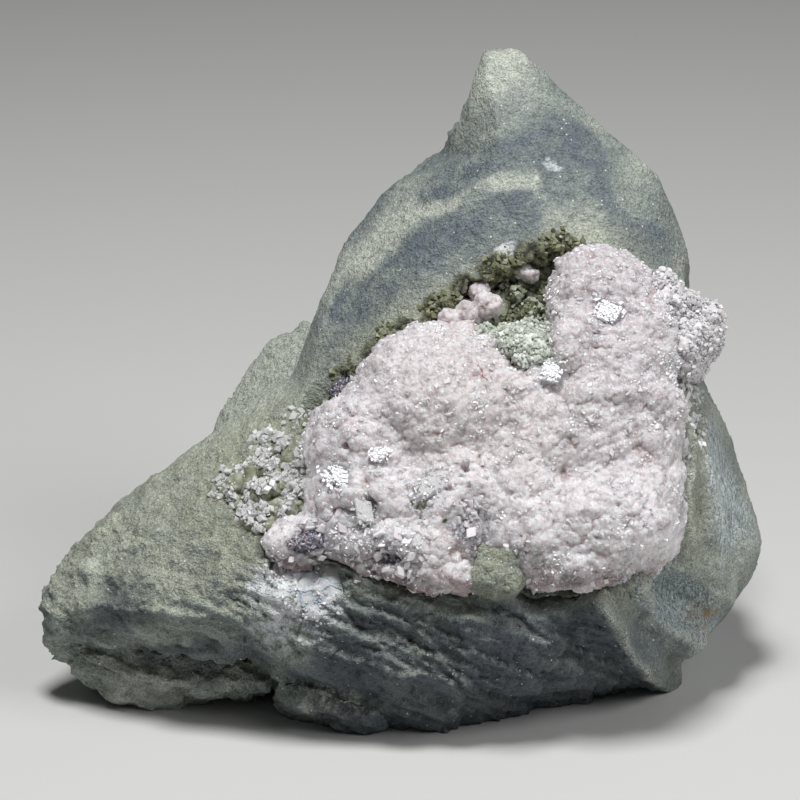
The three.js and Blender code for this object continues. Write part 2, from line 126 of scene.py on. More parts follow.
def shape_with(piece, tool, **settings):
    """Applies one modifier to a piece and keeps its result as the piece's mesh."""
    modifier = piece.modifiers.new(tool, tool)
    for setting, value in settings.items():
        setattr(modifier, setting, value)
    view = bpy.context.evaluated_depsgraph_get()
    before = piece.data
    piece.data = bpy.data.meshes.new_from_object(piece.evaluated_get(view))
    piece.modifiers.clear()
    bpy.data.meshes.remove(before)


def remesh(piece, voxel):
    shape_with(piece, "REMESH", mode="VOXEL", voxel_size=voxel * MM, use_smooth_shade=True)


def smooth(piece, times):
    shape_with(piece, "SMOOTH", factor=0.5, iterations=times)


def thin_out(piece, most_faces):
    """Takes away the least useful points until a piece has at most so many triangles."""
    faces = sum(len(face.vertices) - 2 for face in piece.data.polygons)
    if faces > most_faces:
        shape_with(piece, "DECIMATE", ratio=most_faces / faces)


def read_out(rows, field):
    """Three numbers for each point of a mesh, as an array with one row a point."""
    flat = np.empty(len(rows) * 3, np.float32)
    rows.foreach_get(field, flat)
    return flat.reshape(-1, 3).astype(float)


def points_of(piece):
    return read_out(piece.data.vertices, "co") / MM


def normals_of(piece):
    return read_out(piece.data.vertex_normals, "vector")


def move_points(piece, points):
    piece.data.vertices.foreach_set("co", (points * MM).astype(np.float32).ravel())
    piece.data.update()


def mark(piece, **marks):
    """Keeps numbers for each point of a piece, by name, for its material to read."""
    for name, values in marks.items():
        layer = piece.data.attributes.new(name, "FLOAT", "POINT")
        layer.data.foreach_set("value", np.asarray(values, np.float32))


def swells(points, size, seed=0):
    """Smooth random heights from -1 to 1 whose swells are about `size` mm across."""
    places = points / size + 19.7 * seed
    return np.array([noise.noise(place) for place in places.tolist()])


def wavering(points, size, seed):
    """A random shift of each point in all three directions, in swells of about `size` mm."""
    return np.stack([swells(points, size, seed + side) for side in range(3)], axis=1)


def clods(points, size, seed=0):
    """Close-packed rounded clods: 1 in the middle of each, falling to 0 in the gaps."""
    places = points / size + 31.3 * seed
    near = [noise.voronoi(place)[0] for place in places.tolist()]
    return np.clip(np.array([(far - close) for close, far, *_ in near]) * 1.6, 0, 1)


def flakes(points, length, width, thickness, seed=0):
    """Torn overlapping flakes from -1 to 1: each slopes out to a free lower edge."""
    places = points @ GRAIN_FRAME / np.array([length, width, thickness]) + 27.1 * seed
    places = places + 0.9 * wavering(places, 1.8, 3 * seed)
    heights = []
    for place in places.tolist():
        centre = noise.voronoi(place)[1][0]
        heights.append(0.9 * (centre[2] - place[2]) + 0.6 * noise.cell(centre * 7.3))
    return np.clip(np.array(heights), -1, 1)


def layered(points, layers):
    """Adds up layers of relief, each given as how high, its kind and what that kind takes."""
    return sum(height * kind(points, *sizes) for height, kind, *sizes in layers)


def ease(values, start, end):
    """0 before `start`, 1 after `end` and a smooth rise between."""
    share = np.clip((values - start) / (end - start), 0, 1)
    return share * share * (3 - 2 * share)


def near_spot(points, centre, inner, outer):
    """1 within `inner` mm of a place, falling to 0 at `outer` mm."""
    return 1 - ease(np.linalg.norm(points - np.array(centre), axis=1), inner, outer)


def near_spots(points, spots):
    return np.max([near_spot(points, *spot) for spot in spots], axis=0)


def crest(points, corners, width):
    """1 along a line through some corners, falling straight to 0 at `width` mm from it."""
    closest = np.full(len(points), np.inf)
    for start, end in zip(np.array(corners[:-1]), np.array(corners[1:])):
        along = np.clip((points - start) @ (end - start) / ((end - start) @ (end - start)), 0, 1)
        foot = start + along[:, None] * (end - start)
        closest = np.minimum(closest, np.linalg.norm(points - foot, axis=1))
    return np.clip(1 - closest / width, 0, 1)


def right_of(points, corners):
    """How many mm a point lies to the right of a line through some corners, at its height."""
    side, _, height = np.array(sorted(corners, key=lambda corner: corner[2])).T
    return points[:, 0] - np.interp(points[:, 2], height, side)


def distance_to(points, nodes, furthest):
    """The distance in mm from each point to the nearest surface of some CAD nodes."""
    view = bpy.context.evaluated_depsgraph_get()
    surfaces = [BVHTree.FromObject(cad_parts[node], view) for node in nodes]
    distances = np.full(len(points), furthest)
    for index, point in enumerate((points * MM).tolist()):
        for surface in surfaces:
            hit = surface.find_nearest(point, distances[index] * MM)
            if hit[3] is not None:
                distances[index] = hit[3] / MM
    return distances


def depth_to_growth(points):
    """How far points of the rock are from what grew on it, in whole mm up to 9."""
    growths = ["rhodochrosite_crust", "upper_cavity_druse", "slot_druse", "left_druse"]
    return np.floor(distance_to(points, growths, 9.0))


rock = copy_of("host_rock", "broken_host_rock")
remesh(rock, ROCK_VOXEL)
smooth(rock, 2)
rock_points = points_of(rock)
rock_normals = normals_of(rock)
x_at, y_at, z_at = rock_points.T
low = 1 - ease(z_at, 21, 26)
fore = ease(-y_at, 2, 9)
rightward = ease(right_of(rock_points, BELLY_RIDGE), -2, 0.5)
leftward = ease(-x_at, 16, 24)
behind = np.maximum(ease(y_at, 14, 21), ease(x_at, 36, 41) * ease(y_at, -4, 3))
torn = low * (0.35 + 0.65 * fore) * (1 - 0.85 * rightward) * (1 - 0.75 * leftward)
torn = np.maximum(torn, 0.3 * behind)
toe = leftward * (1 - ease(z_at, 9, 16))
lobe_top = ease(-x_at, 12, 20) * ease(rock_normals[:, 2], 0, 0.45) * ease(-y_at, -4, 6)
hackly = (leftward * low + 0.5 * toe) * (1 - 0.6 * lobe_top)
depth = depth_to_growth(rock_points)
granular = np.maximum(1 - ease(depth, 0.4, 2.2), near_spots(rock_points, [
    ([36, -11, 38], 4, 8), ([-19, -12, 30], 4, 9), ([18, -3, 55], 2, 6),
    ([29.4, -17.6, 11.9], 3, 5), ([35.8, -16.4, 27], 2, 5)]))

close_relief = layered(rock_points, [
    (0.08 + 0.32 * torn, flakes, 6.5, 3, 1.8, 2),
    (0.04 + 0.24 * torn, flakes, 3.6, 1.2, 0.8, 3),
    (0.7 * hackly, swells, 3.4, 14),
    (0.3 * hackly, swells, 1.5, 15),
    (0.3 * hackly, flakes, 3, 2.2, 1.6, 4),
    (0.4 * lobe_top, swells, 3.2, 8),
    (0.24 * lobe_top, swells, 1.6, 9),
    (0.4 * lobe_top, flakes, 5, 4, 3, 7),
    (0.06 + 0.06 * torn + 0.05 * lobe_top, swells, 0.9, 10)])
relief = close_relief - 0.18 * granular + layered(rock_points, [
    (0.45, swells, 15, 5),
    (0.3, swells, 6.5, 6),
    (0.12 + 0.55 * torn, flakes, 15, 6, 3.6, 1),
    (0.9 * behind, swells, 13, 19),
    (0.5 * behind, flakes, 16, 11, 7, 6),
    (0.5 * torn, swells, 6, 16),
    (0.45 * torn, flakes, 7, 5.5, 4.5, 5),
    (0.42 * granular, clods, 1.2, 11)])
shaggy = near_spots(rock_points, SHAGGY_RIM) * ease(rock_normals @ SEAT_OUT, -0.6, -0.2)
shags = clods(rock_points + 0.6 * swells(rock_points, 1.5, 12)[:, None], 1.7, 13)
relief += shaggy * (1.1 * shags - 0.5)
for spot, radius, deep in ROCK_SHELLS + ROCK_PITS:
    relief -= deep * near_spot(rock_points, spot, 0, radius)
chipped = rock_points + 0.5 * wavering(rock_points, 3.2, 28)
for corners, height in ROCK_CRESTS:
    relief += height * crest(chipped, corners, CREST_WIDTH)
# Along the sharp crests the rock turns paler: a painted highlight, with paler broken rock along
# those edges.
rim = np.max([
    crest(chipped, corners, BRIGHT_RIM_WIDTH) for corners, _ in ROCK_CRESTS], axis=0)
relief *= 1 - 0.45 * (1 - ease(depth, 0.2, 1))
rock_points += rock_normals * relief[:, None]
knob_place, knob_inner, knob_outer, knob_height = ROCK_KNOB
knobbly = layered(rock_points, [(0.9, clods, 1.9, 17), (0.8, swells, 2.8, 18)]) - 0.4
knobbly = (knobbly + knob_height) * near_spot(rock_points, knob_place, knob_inner, knob_outer)
rock_points += rock_normals * knobbly[:, None]
rock_points[:, 2] = np.maximum(rock_points[:, 2], 0)
move_points(rock, rock_points)
# Three of these marks carry painted light: the close relief's height lightens flake tops and
# darkens the hollows between them, the crest lines take a painted highlight, and the hollows
# between the olive clods take painted shade.
mark(rock, edge=np.clip(0.5 + 0.9 * close_relief, 0, 1), rim=rim,
     shag_gap=shaggy * (1 - ease(shags, 0.08, 0.4)))
thin_out(rock, ROCK_FACES)

rock_points = points_of(rock)
rock_points[:, 2] = np.maximum(rock_points[:, 2], 0)
move_points(rock, rock_points)
rock_normals = normals_of(rock)
x_at, y_at, z_at = rock_points.T
upward = rock_normals[:, 2]
depth = depth_to_growth(rock_points)
slab = ease(z_at, 33, 42) * ease((rock_points - SEAT_CENTRE) @ SEAT_UP, 3, 9)
streak_frame = np.array([[0.84, 0.28, 0.46], [-0.5, 0.1, 0.86], [0.2, -0.95, 0.23]]).T
streaks = layered(rock_points @ streak_frame / np.array([3.2, 1, 1]), [
    (1, swells, 5.5, 22), (0.6, swells, 2.4, 23), (0.3, swells, 1.1, 24)])
wander = rock_points + 2.4 * wavering(rock_points, 5, 25)
dark_band = np.max([crest(wander, *band) for band in DARK_BANDS], axis=0)
pale_band = np.max([crest(wander, *band) for band in PALE_BANDS], axis=0)

olive = (1 - ease(depth, 1.2, 7.5)) * (0.65 + 0.5 * swells(rock_points, 2.4, 20))
olive += 0.75 * ease(-x_at, 9, 17) * ease(upward, 0.25, 0.6) * ease(-y_at, -6, 4)
olive *= 1 - 0.8 * (1 - ease(z_at, 17, 22)) * (1 - ease(-x_at, 12, 20))
olive += near_spots(rock_points, [([12, -27, 24], 2.5, 5), ([35.5, -16.5, 27], 1.5, 4)])
pale = near_spots(rock_points, PALE_SPOTS) * (0.8 + 0.6 * swells(rock_points, 5, 21))
pale += 0.45 * slab * ease(streaks, 0.05, 0.6) + ease(pale_band, 0, 0.6)
# The left lobe's upward faces turn paler: painted light from above.
pale += 0.58 * ease(-x_at, 10, 18) * ease(upward, 0.1, 0.5)
pale *= 1 - ease(dark_band, 0.1, 0.6)
blue = 0.7 * near_spots(rock_points, [
    ([9, -3.4, 55], 1.5, 7), ([3, 0, 54], 2, 8), ([31, -17, 16], 4, 9), ([16, 3, 63], 2, 7)])
blue += 0.35 * slab * ease(-streaks, 0, 0.5) + 0.9 * ease(dark_band, 0, 0.5)
blue *= 1 - ease(pale_band, 0.2, 0.7)
# Darker, bluer rock low on the front where the faces turn downwards, and in spots under the left
# lobe's ledge: painted shade, laid over a darker fresh fracture.
fresh = ease(-y_at, 4, 14) * (1 - ease(z_at, 17, 24)) * (1 - ease(upward, 0, 0.5))
fresh *= 1 - 0.85 * ease(-x_at, 8, 15)
fresh += 0.8 * near_spots(rock_points, [
    ([-24.5, -18.1, 8.8], 2.5, 6), ([-19, -20.2, 9.3], 2, 5), ([-30, -16, 8], 1, 4),
    ([-34.5, -19.4, 16.9], 0, 7)])
fresh *= 1 - 0.9 * ease(right_of(rock_points, BELLY_RIDGE), -0.4, 0.4)
# A facet low on the right, between the outer and flank ridges, takes a brushed blue-grey tone, as
# does the side right of the side ridge: painted light that sets the facets apart, over brushed
# striations.
facet_light = ease(right_of(rock_points, OUTER_RIDGE), -0.3, 0.5) * ease(x_at, 24, 28)
facet_light *= (1 - ease(right_of(rock_points, FLANK_RIDGE), -0.5, 0.3)) * (1 - ease(z_at, 21, 24))
sheen = ease(right_of(rock_points, SIDE_RIDGE), -0.3, 0.5) * ease(x_at, 34, 37)
sheen *= ease(z_at + 2 * swells(rock_points, 5, 49), 16, 22) * (1 - ease(z_at, 32, 40))
sheen *= ease(-y_at, 3, 9)
# The rock is darkened where it meets the crust and the druses, and in two spots under the crust's
# overhang, but not on the bare knob: painted shade.
bare_knob = 1 - near_spot(
    rock_points, knob_place, knob_inner + knob_height, knob_outer + knob_height)
overhung_shadow = near_spots(rock_points, [([16.5, -27, 21.5], 1.8, 3.8), ([20.5, -27, 21.5], 1.8, 3.8)])
mark(rock, olive=np.clip(olive, 0, 1), pale=np.clip(pale, 0, 1), blue=np.clip(blue, 0, 1),
     fresh=fresh, sheen=sheen, scar=np.maximum(facet_light, sheen),
     white=near_spots(rock_points, WHITE_SPOTS), shaggy=near_spots(rock_points, SHAGGY_RIM),
     rust=near_spots(rock_points, [([37.5, -11, 11], 0.8, 4.5), ([35, -12, 7], 0.4, 3.4)]),
     gap=np.maximum(1 - ease(depth, 0.15, 0.9), overhung_shadow) * bare_knob)


def fill(node, inputs):
    """Sets a node's inputs. Each is a plain value or the socket that feeds it."""
    for name, value in inputs.items():
        if isinstance(value, bpy.types.NodeSocket):
            node.id_data.links.new(value, node.inputs[name])
        else:
            node.inputs[name].default_value = value


def put(tree, kind, inputs=None, **settings):
    """Adds a node with its settings and inputs."""
    node = tree.nodes.new(kind)
    for setting, value in settings.items():
        setattr(node, setting, value)
    fill(node, inputs or {})
    return node


def tint(red, green, blue):
    """A colour given as it looks, on a scale of 0 to 255, as the shaders want it."""
    return [(((part / 255) + 0.055) / 1.055) ** 2.4 for part in (red, green, blue)] + [1.0]


def blend(tree, share, first, second, way="MIX"):
    """Mixes two colours by a share from 0 to 1. Each is a socket or a colour as it looks."""
    node = put(tree, "ShaderNodeMix", data_type="RGBA", blend_type=way, clamp_factor=True)
    first, second = [
        tint(*colour) if isinstance(colour, tuple) else colour for colour in (first, second)]
    fill(node, {0: share, 6: first, 7: second})
    return node.outputs[2]


def sum_up(tree, way, first, second):
    return put(tree, "ShaderNodeMath", {0: first, 1: second}, operation=way).outputs[0]


def times(tree, first, second):
    return sum_up(tree, "MULTIPLY", first, second)


def rise(tree, value, start, end, least=0.0, most=1.0):
    """Maps a value between `start` and `end` to between `least` and `most`."""
    return put(tree, "ShaderNodeMapRange", {
        "Value": value, "From Min": start, "From Max": end, "To Min": least, "To Max": most,
    }, interpolation_type="SMOOTHSTEP").outputs["Result"]


def marked(tree, name):
    return put(tree, "ShaderNodeAttribute", attribute_name=name).outputs["Fac"]


def layer_on(tree, colour, layers):
    """Lays colours over one another. A layer is its mask or the name of one that a piece was
    marked with, how strongly it shows, and its colour."""
    for mask, strength, shade in layers:
        if isinstance(mask, str):
            mask = marked(tree, mask)
        colour = blend(tree, times(tree, mask, strength), colour, shade)
    return colour


def shaded(tree, share, colour, mask, dark, light):
    """Darkens a colour where a mask is low and lightens it where the mask is high."""
    return blend(tree, share, colour, blend(tree, mask, dark, light), "OVERLAY")


def object_place(tree):
    return put(tree, "ShaderNodeTexCoord").outputs["Object"]


def new_group(name, inputs, outputs):
    """An empty shader group with named sockets, what is given to it, and its end."""
    group = bpy.data.node_groups.new(name, "ShaderNodeTree")
    for socket, value in inputs.items():
        made = group.interface.new_socket(socket, in_out="INPUT", socket_type="NodeSocketFloat")
        made.default_value = value
    for socket in outputs:
        group.interface.new_socket(socket, in_out="OUTPUT", socket_type="NodeSocketFloat")
    return group, put(group, "NodeGroupInput").outputs, put(group, "NodeGroupOutput")


# Mottling and grain: soft patches and finer grains, each of a given size in mm, and their relief.
grain_group, given, end = new_group(
    "mineral grain", {"Patch Size": 4, "Grain Size": 0.6}, ["Patches", "Grains", "Relief"])
place = object_place(grain_group)
patch_scale = sum_up(grain_group, "DIVIDE", 1 / MM, given["Patch Size"])
grain_scale = sum_up(grain_group, "DIVIDE", 1 / MM, given["Grain Size"])
patches = put(grain_group, "ShaderNodeTexNoise", {
    "Vector": place, "Scale": patch_scale, "Detail": 4, "Roughness": 0.55, "Distortion": 0.4})
grains = put(grain_group, "ShaderNodeTexNoise", {
    "Vector": place, "Scale": grain_scale, "Detail": 3, "Roughness": 0.65})
pits = put(grain_group, "ShaderNodeTexVoronoi", {"Vector": place, "Scale": grain_scale})
fill(end, {
    "Patches": rise(grain_group, patches.outputs[0], 0.34, 0.66),
    "Grains": rise(grain_group, grains.outputs[0], 0.3, 0.7),
    "Relief": sum_up(grain_group, "SUBTRACT", grains.outputs[0],
                     times(grain_group, pits.outputs["Distance"], 0.35))})

# Glints: a mask for a few small crystal faces among many. The materials paint a near-white glint
# into the colour there and make those faces smoother: a painted highlight.
glint_group, given, end = new_group(
    "glints", {"Face Size": 0.5, "Share": 0.1}, ["Glint", "Facet"])
face_scale = sum_up(glint_group, "DIVIDE", 1 / MM, given["Face Size"])
faces = put(glint_group, "ShaderNodeTexVoronoi", {
    "Vector": object_place(glint_group), "Scale": face_scale})
face_draw = put(glint_group, "ShaderNodeSeparateColor", {"Color": faces.outputs["Color"]})
chosen = sum_up(glint_group, "LESS_THAN", face_draw.outputs["Red"], given["Share"])
middle = rise(glint_group, faces.outputs["Distance"], 0.5, 0.2)
fill(end, {"Glint": times(glint_group, chosen, middle), "Facet": face_draw.outputs["Green"]})


def new_finish(name):
    """A material with its shader, ready for its colours and relief to be linked in."""
    finish = bpy.data.materials.new(name)
    finish.use_nodes = True
    return finish, finish.node_tree, finish.node_tree.nodes["Principled BSDF"]


def grained(tree, patch_size, grain_size):
    return put(tree, "ShaderNodeGroup", {"Patch Size": patch_size, "Grain Size": grain_size},
               node_tree=grain_group).outputs


def glinting(tree, face_size, share):
    return put(tree, "ShaderNodeGroup", {"Face Size": face_size, "Share": share},
               node_tree=glint_group).outputs


def raised(tree, height, depth):
    """The normal of a skin that stands `depth` mm higher where `height` is 1 than where it is 0."""
    return put(tree, "ShaderNodeBump", {
        "Height": height, "Distance": depth * MM, "Strength": 1.0}).outputs["Normal"]


rock_finish, tree, shader = new_finish("altered grey-green rock")
broad = grained(tree, 9, 1.6)
close = grained(tree, 2.6, 0.6)
fine = grained(tree, 1, 0.24)
sparks = glinting(tree, 0.3, 0.012)["Glint"]
patchy = close["Patches"]
whitish = rise(tree, sum_up(tree, "ADD", marked(tree, "white"), patchy), 0.95, 1.35)
stretch = put(tree, "ShaderNodeMapping", {
    "Vector": object_place(tree), "Rotation": (0.3, 0.75, 0.2), "Scale": (1, 1, 0.12)})
brushing = put(tree, "ShaderNodeTexNoise", {
    "Vector": stretch.outputs["Vector"], "Scale": 4200, "Detail": 3, "Roughness": 0.6})
brushed = rise(tree, brushing.outputs[0], 0.35, 0.65)
colour = blend(tree, broad["Patches"], (112, 119, 120), (146, 152, 144))
colour = layer_on(tree, colour, [
    ["pale", 0.85, (181, 185, 174)],
    [times(tree, marked(tree, "blue"), rise(tree, patchy, 0, 1, 0.3, 1)), 0.85, (92, 101, 110)],
    [times(tree, marked(tree, "olive"), rise(tree, patchy, 0, 1, 0.55, 1)), 0.8, (151, 152, 133)],
    [times(tree, whitish, marked(tree, "white")), 1, (205, 208, 210)],
    # painted shade low on the front and under the lobe, over darker fresh rock
    ["fresh", 0.82, (64, 70, 79)],
    ["shaggy", 0.8, (104, 103, 74)],
    # painted shade, nearly black, between the olive clods that hang over the cavity
    ["shag_gap", 1, (24, 24, 18)],
    # painted light on the low right facet and the side, in brushed tones
    ["scar", 0.75, blend(tree, brushed, (114, 123, 127), (194, 204, 206))],
    ["sheen", 0.8, blend(tree, brushed, (132, 143, 147), (214, 220, 221))],
    [times(tree, marked(tree, "rust"), patchy), 0.85, (139, 112, 66)]])
# Painted light and shade: lighter where the close relief stands high and darker in its hollows,
# most of all low on the front.
colour = shaded(tree, rise(tree, marked(tree, "fresh"), 0, 1, 0.35, 0.8), colour,
                marked(tree, "edge"), (126, 128, 130), (235, 236, 235))
colour = shaded(tree, 0.3, colour, close["Grains"], (126, 129, 130), (232, 234, 232))
colour = shaded(tree, 0.45, colour, fine["Grains"], (110, 112, 112), (240, 241, 240))
colour = layer_on(tree, colour, [
    # painted highlight along the crests
    ["rim", rise(tree, fine["Grains"], 0.15, 0.6), (196, 200, 190)],
    # painted shade where the rock meets its growths and under the crust
    ["gap", 0.6, (60, 60, 46)],
    # painted glints
    [sparks, 1, (225, 228, 226)]])
grain_relief = sum_up(tree, "ADD", close["Relief"], times(tree, fine["Relief"], 0.5))
grain_relief = sum_up(tree, "ADD", grain_relief, times(tree, broad["Relief"], 1.6))
fill(shader, {"Base Color": colour, "Roughness": rise(tree, sparks, 0, 1, 0.82, 0.3),
              "Normal": raised(tree, grain_relief, 0.4)})
rock.data.materials.append(rock_finish)
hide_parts("host_rock")
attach(rock, "root")

# ---- Rhodochrosite crust -----------------------------------------------------------------------
# A thick crust of pale pink manganese carbonate that grew in the cavity as broad mounds and ran
# together. Its skin is a mass of small curved rhombs, packed like petals in swirling rows.

CRUST_FIRST_VOXEL = 0.6  # mm, for the broad mounds
CRUST_VOXEL = 0.21  # mm, for the knobs and petals
CRUST_FACES = 196000
PETAL_LONG = (0.7, 1.25)  # mm, half the length of a petal
PETAL_WIDE = (0.38, 0.7)
PETAL_THICK = (0.2, 0.5)
PETAL_SPACING = 0.7
PETAL_ROWS = np.array([0.72, 0, 0]) + 0.55 * SEAT_UP  # the way their rows run before they swirl
BUD_SIZE = (0.7, 2.0)  # mm, the radius of a rounded knob
BUD_SPACING = 1.9
CRUST_HOLLOWS = [  # [place, radius, depth]: the window on to the rock, the slit and the valley
    [(11, -26.9, 25.8), 5.6, 0.9], [(-7.4, -24.8, 30.8), 1.8, 1.2]]
CRUST_FILLS = [  # [place, radius, height]: where the mounds have grown together
    [(14.5, -18, 42), 4.5, 1.5], [(15.5, -22, 36), 5.5, 1], [(14.3, -23.6, 32.4), 5, 1.4],
    [(5.9, -25.2, 29.5), 4.5, 0.9], [(27.5, -15.8, 46.3), 4.5, 0.9], [(30, -11.5, 50), 4, 0.9],
    [(17.8, -14.2, 47), 5, 3], [(14.8, -17.2, 45), 4, 1.4], [(22.6, -18.2, 44), 3.6, 0.9],
    [(26.4, -18, 43.6), 3.6, 1.2], [(30.5, -16.8, 42.8), 3.6, 1.2], [(20.5, -12.5, 50), 3.5, 1],
    [(33, -18.5, 36), 5, -1.1], [(31.5, -21.5, 29), 5, -1.1], [(27.5, -25.5, 24.5), 5, -0.9]]
CRUST_SPREADS = [  # [place, radius, reach]: where it runs sideways on to the clump at the edge
    [(31.5, -10.5, 51), 4.5, 1.8], [(33, -13.5, 46.5), 5, 2], [(33.4, -15.5, 41), 4, 0.9]]
CRUST_DOME = [(5.9, -19.5, 44), 6.5, 10]  # the smoothest mound
CRUST_PITS = [  # [place, radius]: small dark holes between the petals
    [(-3, -19.4, 40.8), 0.5], [(-6.4, -21.6, 37.6), 0.6], [(7.7, -23.6, 35.4), 0.7],
    [(5.9, -24.8, 33.1), 0.8], [(-6.6, -24.9, 30.6), 1], [(-8.2, -24.6, 31), 0.8],
    [(31.6, -13.3, 44.9), 1]]
STAINS = [  # [place, inner radius, outer radius]: dark sulphide dusted through the crust
    [(-10.5, -25, 26.2), 1.2, 3.4], [(-6.8, -26.2, 25), 0.2, 1.8], [(-1.4, -27, 26.2), 1, 3.2],
    [(8.3, -26.6, 28.8), 1.2, 3.8], [(4.5, -26.6, 23.4), 0.5, 2.4], [(20.4, -28.4, 22.6), 0.4, 2],
    [(26.5, -26.8, 22.8), 0.3, 1.8]]
# The sugar mark raises the share of painted glints in the crust's colour; the same patches get more
# sparkle crystals.
SUGARY = [  # [place, inner radius, outer radius]: patches where many small faces catch the light
    [(3.9, -12, 48.8), 0.6, 2.4], [(8.9, -20.3, 42.8), 0.4, 1.7], [(17.5, -17.9, 45.6), 0.8, 3],
    [(24.5, -13.8, 51.9), 0.6, 2.8], [(-2.4, -23.4, 36.6), 0.3, 2], [(-7.7, -23, 34.9), 0.5, 2.6],
    [(22.5, -20.6, 41), 0.3, 2.2], [(26, -27.3, 30.4), 0.3, 2.2], [(19, -28.4, 25.6), 0.3, 2],
    [(-4.6, -27.2, 28.2), 1, 3.4], [(1.5, -26.8, 27.2), 0.6, 2.8], [(32, -10, 50), 0.8, 3.6],
    [(33, -14, 45), 0.6, 3], [(18.5, -14, 47.5), 0.5, 2.6]]


def spread(points, among, spacing, draw):
    """Picks at random, among some of the points, one from each cell of a grid of that spacing."""
    order = among[draw.permutation(len(among))]
    cells = np.floor(points[order] / spacing).astype(int)
    _, first = np.unique(cells, axis=0, return_index=True)
    return order[np.sort(first)]


def above_seat(points, least):
    """Which points stand out from the broken face by more than so many mm."""
    return (points - SEAT_CENTRE) @ SEAT_OUT > least


def search_tree(points):
    tree = kdtree.KDTree(len(points))
    for index, point in enumerate(points.tolist()):
        tree.insert(point, index)
    tree.balance()
    return tree


def grow_petals(points, normals, places, draw):
    """Overlapping petals on a surface: each point's height and the tone of the petal it is on."""
    heights = np.zeros(len(points))
    tones = np.full(len(points), 0.3)
    tree = search_tree(points)
    swirl = swells(points[places], 11, 31) * 1.1
    for place, turn in zip(places, swirl):
        out = normals[place]
        long_axis = PETAL_ROWS - out * (PETAL_ROWS @ out)
        long_axis /= np.linalg.norm(long_axis)
        wide_axis = np.cross(out, long_axis)
        turn += draw.normal(0, 0.28)
        long_axis, wide_axis = (
            long_axis * math.cos(turn) + wide_axis * math.sin(turn),
            wide_axis * math.cos(turn) - long_axis * math.sin(turn),
        )
        half_long, half_wide = draw.uniform(*PETAL_LONG), draw.uniform(*PETAL_WIDE)
        thick, lean, tone = draw.uniform(*PETAL_THICK), draw.normal(-0.16, 0.1), draw.random()
        found = tree.find_range(points[place].tolist(), half_long)
        near = np.array([index for _, index, _ in found])
        offset = points[near] - points[place]
        across = offset @ wide_axis / half_wide
        dome = 1 - np.abs(offset @ long_axis / half_long) ** 2.6 - np.abs(across) ** 2.2
        height = thick * np.sqrt(np.maximum(dome, 0)) + lean * across * (dome > 0)
        better = (dome > 0) & (height > heights[near])
        heights[near[better]] = height[better]
        tones[near[better]] = tone
    return heights, tones


def grow_buds(points, spacing, size, draw):
    """Rounded knobs on a surface, the taller over the lower: each point's height."""
    heights = np.zeros(len(points))
    tree = search_tree(points)
    for place in spread(points, np.arange(len(points)), spacing, draw):
        radius = draw.uniform(*size)
        found = tree.find_range(points[place].tolist(), radius)
        near = np.array([index for _, index, _ in found])
        away = np.array([distance for _, _, distance in found]) / radius
        heights[near] = np.maximum(heights[near], 0.5 * radius * np.sqrt(1 - away ** 2))
    return heights


draw = np.random.default_rng(7)
crust = copy_of("rhodochrosite_crust", "rhodochrosite_petal_crust")
remesh(crust, CRUST_FIRST_VOXEL)
smooth(crust, 20)
crust_points = points_of(crust)
mounding = layered(crust_points, [(0.5, swells, 6.5, 33), (0.4, swells, 3.4, 34)])
facing = ease(normals_of(crust) @ SEAT_OUT, -0.1, 0.7)
mounding = mounding * (0.5 + 0.5 * facing) + 0.9 * (1 - facing) * swells(crust_points, 2.8, 47)
crust_points += normals_of(crust) * (mounding + 0.35)[:, None]
for spot, radius, depth in CRUST_HOLLOWS:
    crust_points -= np.outer(depth * near_spot(crust_points, spot, 0.3 * radius, radius), SEAT_OUT)
for spot, radius, height in CRUST_FILLS:
    crust_points += np.outer(height * near_spot(crust_points, spot, 0.2 * radius, radius), SEAT_OUT)
for spot, radius, reach in CRUST_SPREADS:
    crust_points[:, 0] += reach * near_spot(crust_points, spot, 0.2 * radius, radius)
move_points(crust, crust_points)
remesh(crust, CRUST_VOXEL)
smooth(crust, 3)
crust_points = points_of(crust)
on_dome = near_spot(crust_points, *CRUST_DOME)
buds = grow_buds(crust_points, BUD_SPACING, BUD_SIZE, draw)
humps = (1 - 0.7 * on_dome) * (0.6 * buds - 0.2) + 0.3 * swells(crust_points, 1.3, 36)
move_points(crust, crust_points + normals_of(crust) * humps[:, None])
smooth(crust, 1)
crust_points = points_of(crust)
crust_normals = normals_of(crust)
growing = np.flatnonzero(above_seat(crust_points, -3.5) & (crust_normals @ SEAT_OUT > -0.45))
places = spread(crust_points, growing, PETAL_SPACING, draw)
petals, tones = grow_petals(crust_points, crust_normals, places, draw)
heights = petals - 0.22 + 0.22 * clods(crust_points, 0.8, 48)
for spot, radius in CRUST_PITS:
    heights -= 1.1 * near_spot(crust_points, spot, 0.2, radius)
crust_points += crust_normals * heights[:, None]
move_points(crust, crust_points)
plate_side = (crust_points - SEAT_CENTRE) @ SEAT_UP + swells(crust_points, 2.5, 37)
broken = (1 - ease(plate_side, -19.5, -17)) * (1 - 0.6 * ease(crust_points[:, 0], 8, 10))
broken *= 1 - ease(crust_normals[:, 2], -0.1, 0.5)
layers = flakes(crust_points, 5, 1.6, 0.9, 38)
crust_points += crust_normals * (0.5 * broken * layers)[:, None]
move_points(crust, crust_points)


def sugar_clusters(points):
    return ease(swells(points, 2.2, 46), 0.15, 0.5)


mark(crust, petal_height=petals, petal_tone=tones, hollow=1 - ease(humps, -0.25, 0),
     broken=broken * (0.75 + 0.5 * layers),
     sugar=np.maximum(near_spots(crust_points, SUGARY), 0.3 * sugar_clusters(crust_points)),
     stain=near_spots(crust_points + 0.8 * swells(crust_points, 1.5, 39)[:, None], STAINS))
thin_out(crust, CRUST_FACES)

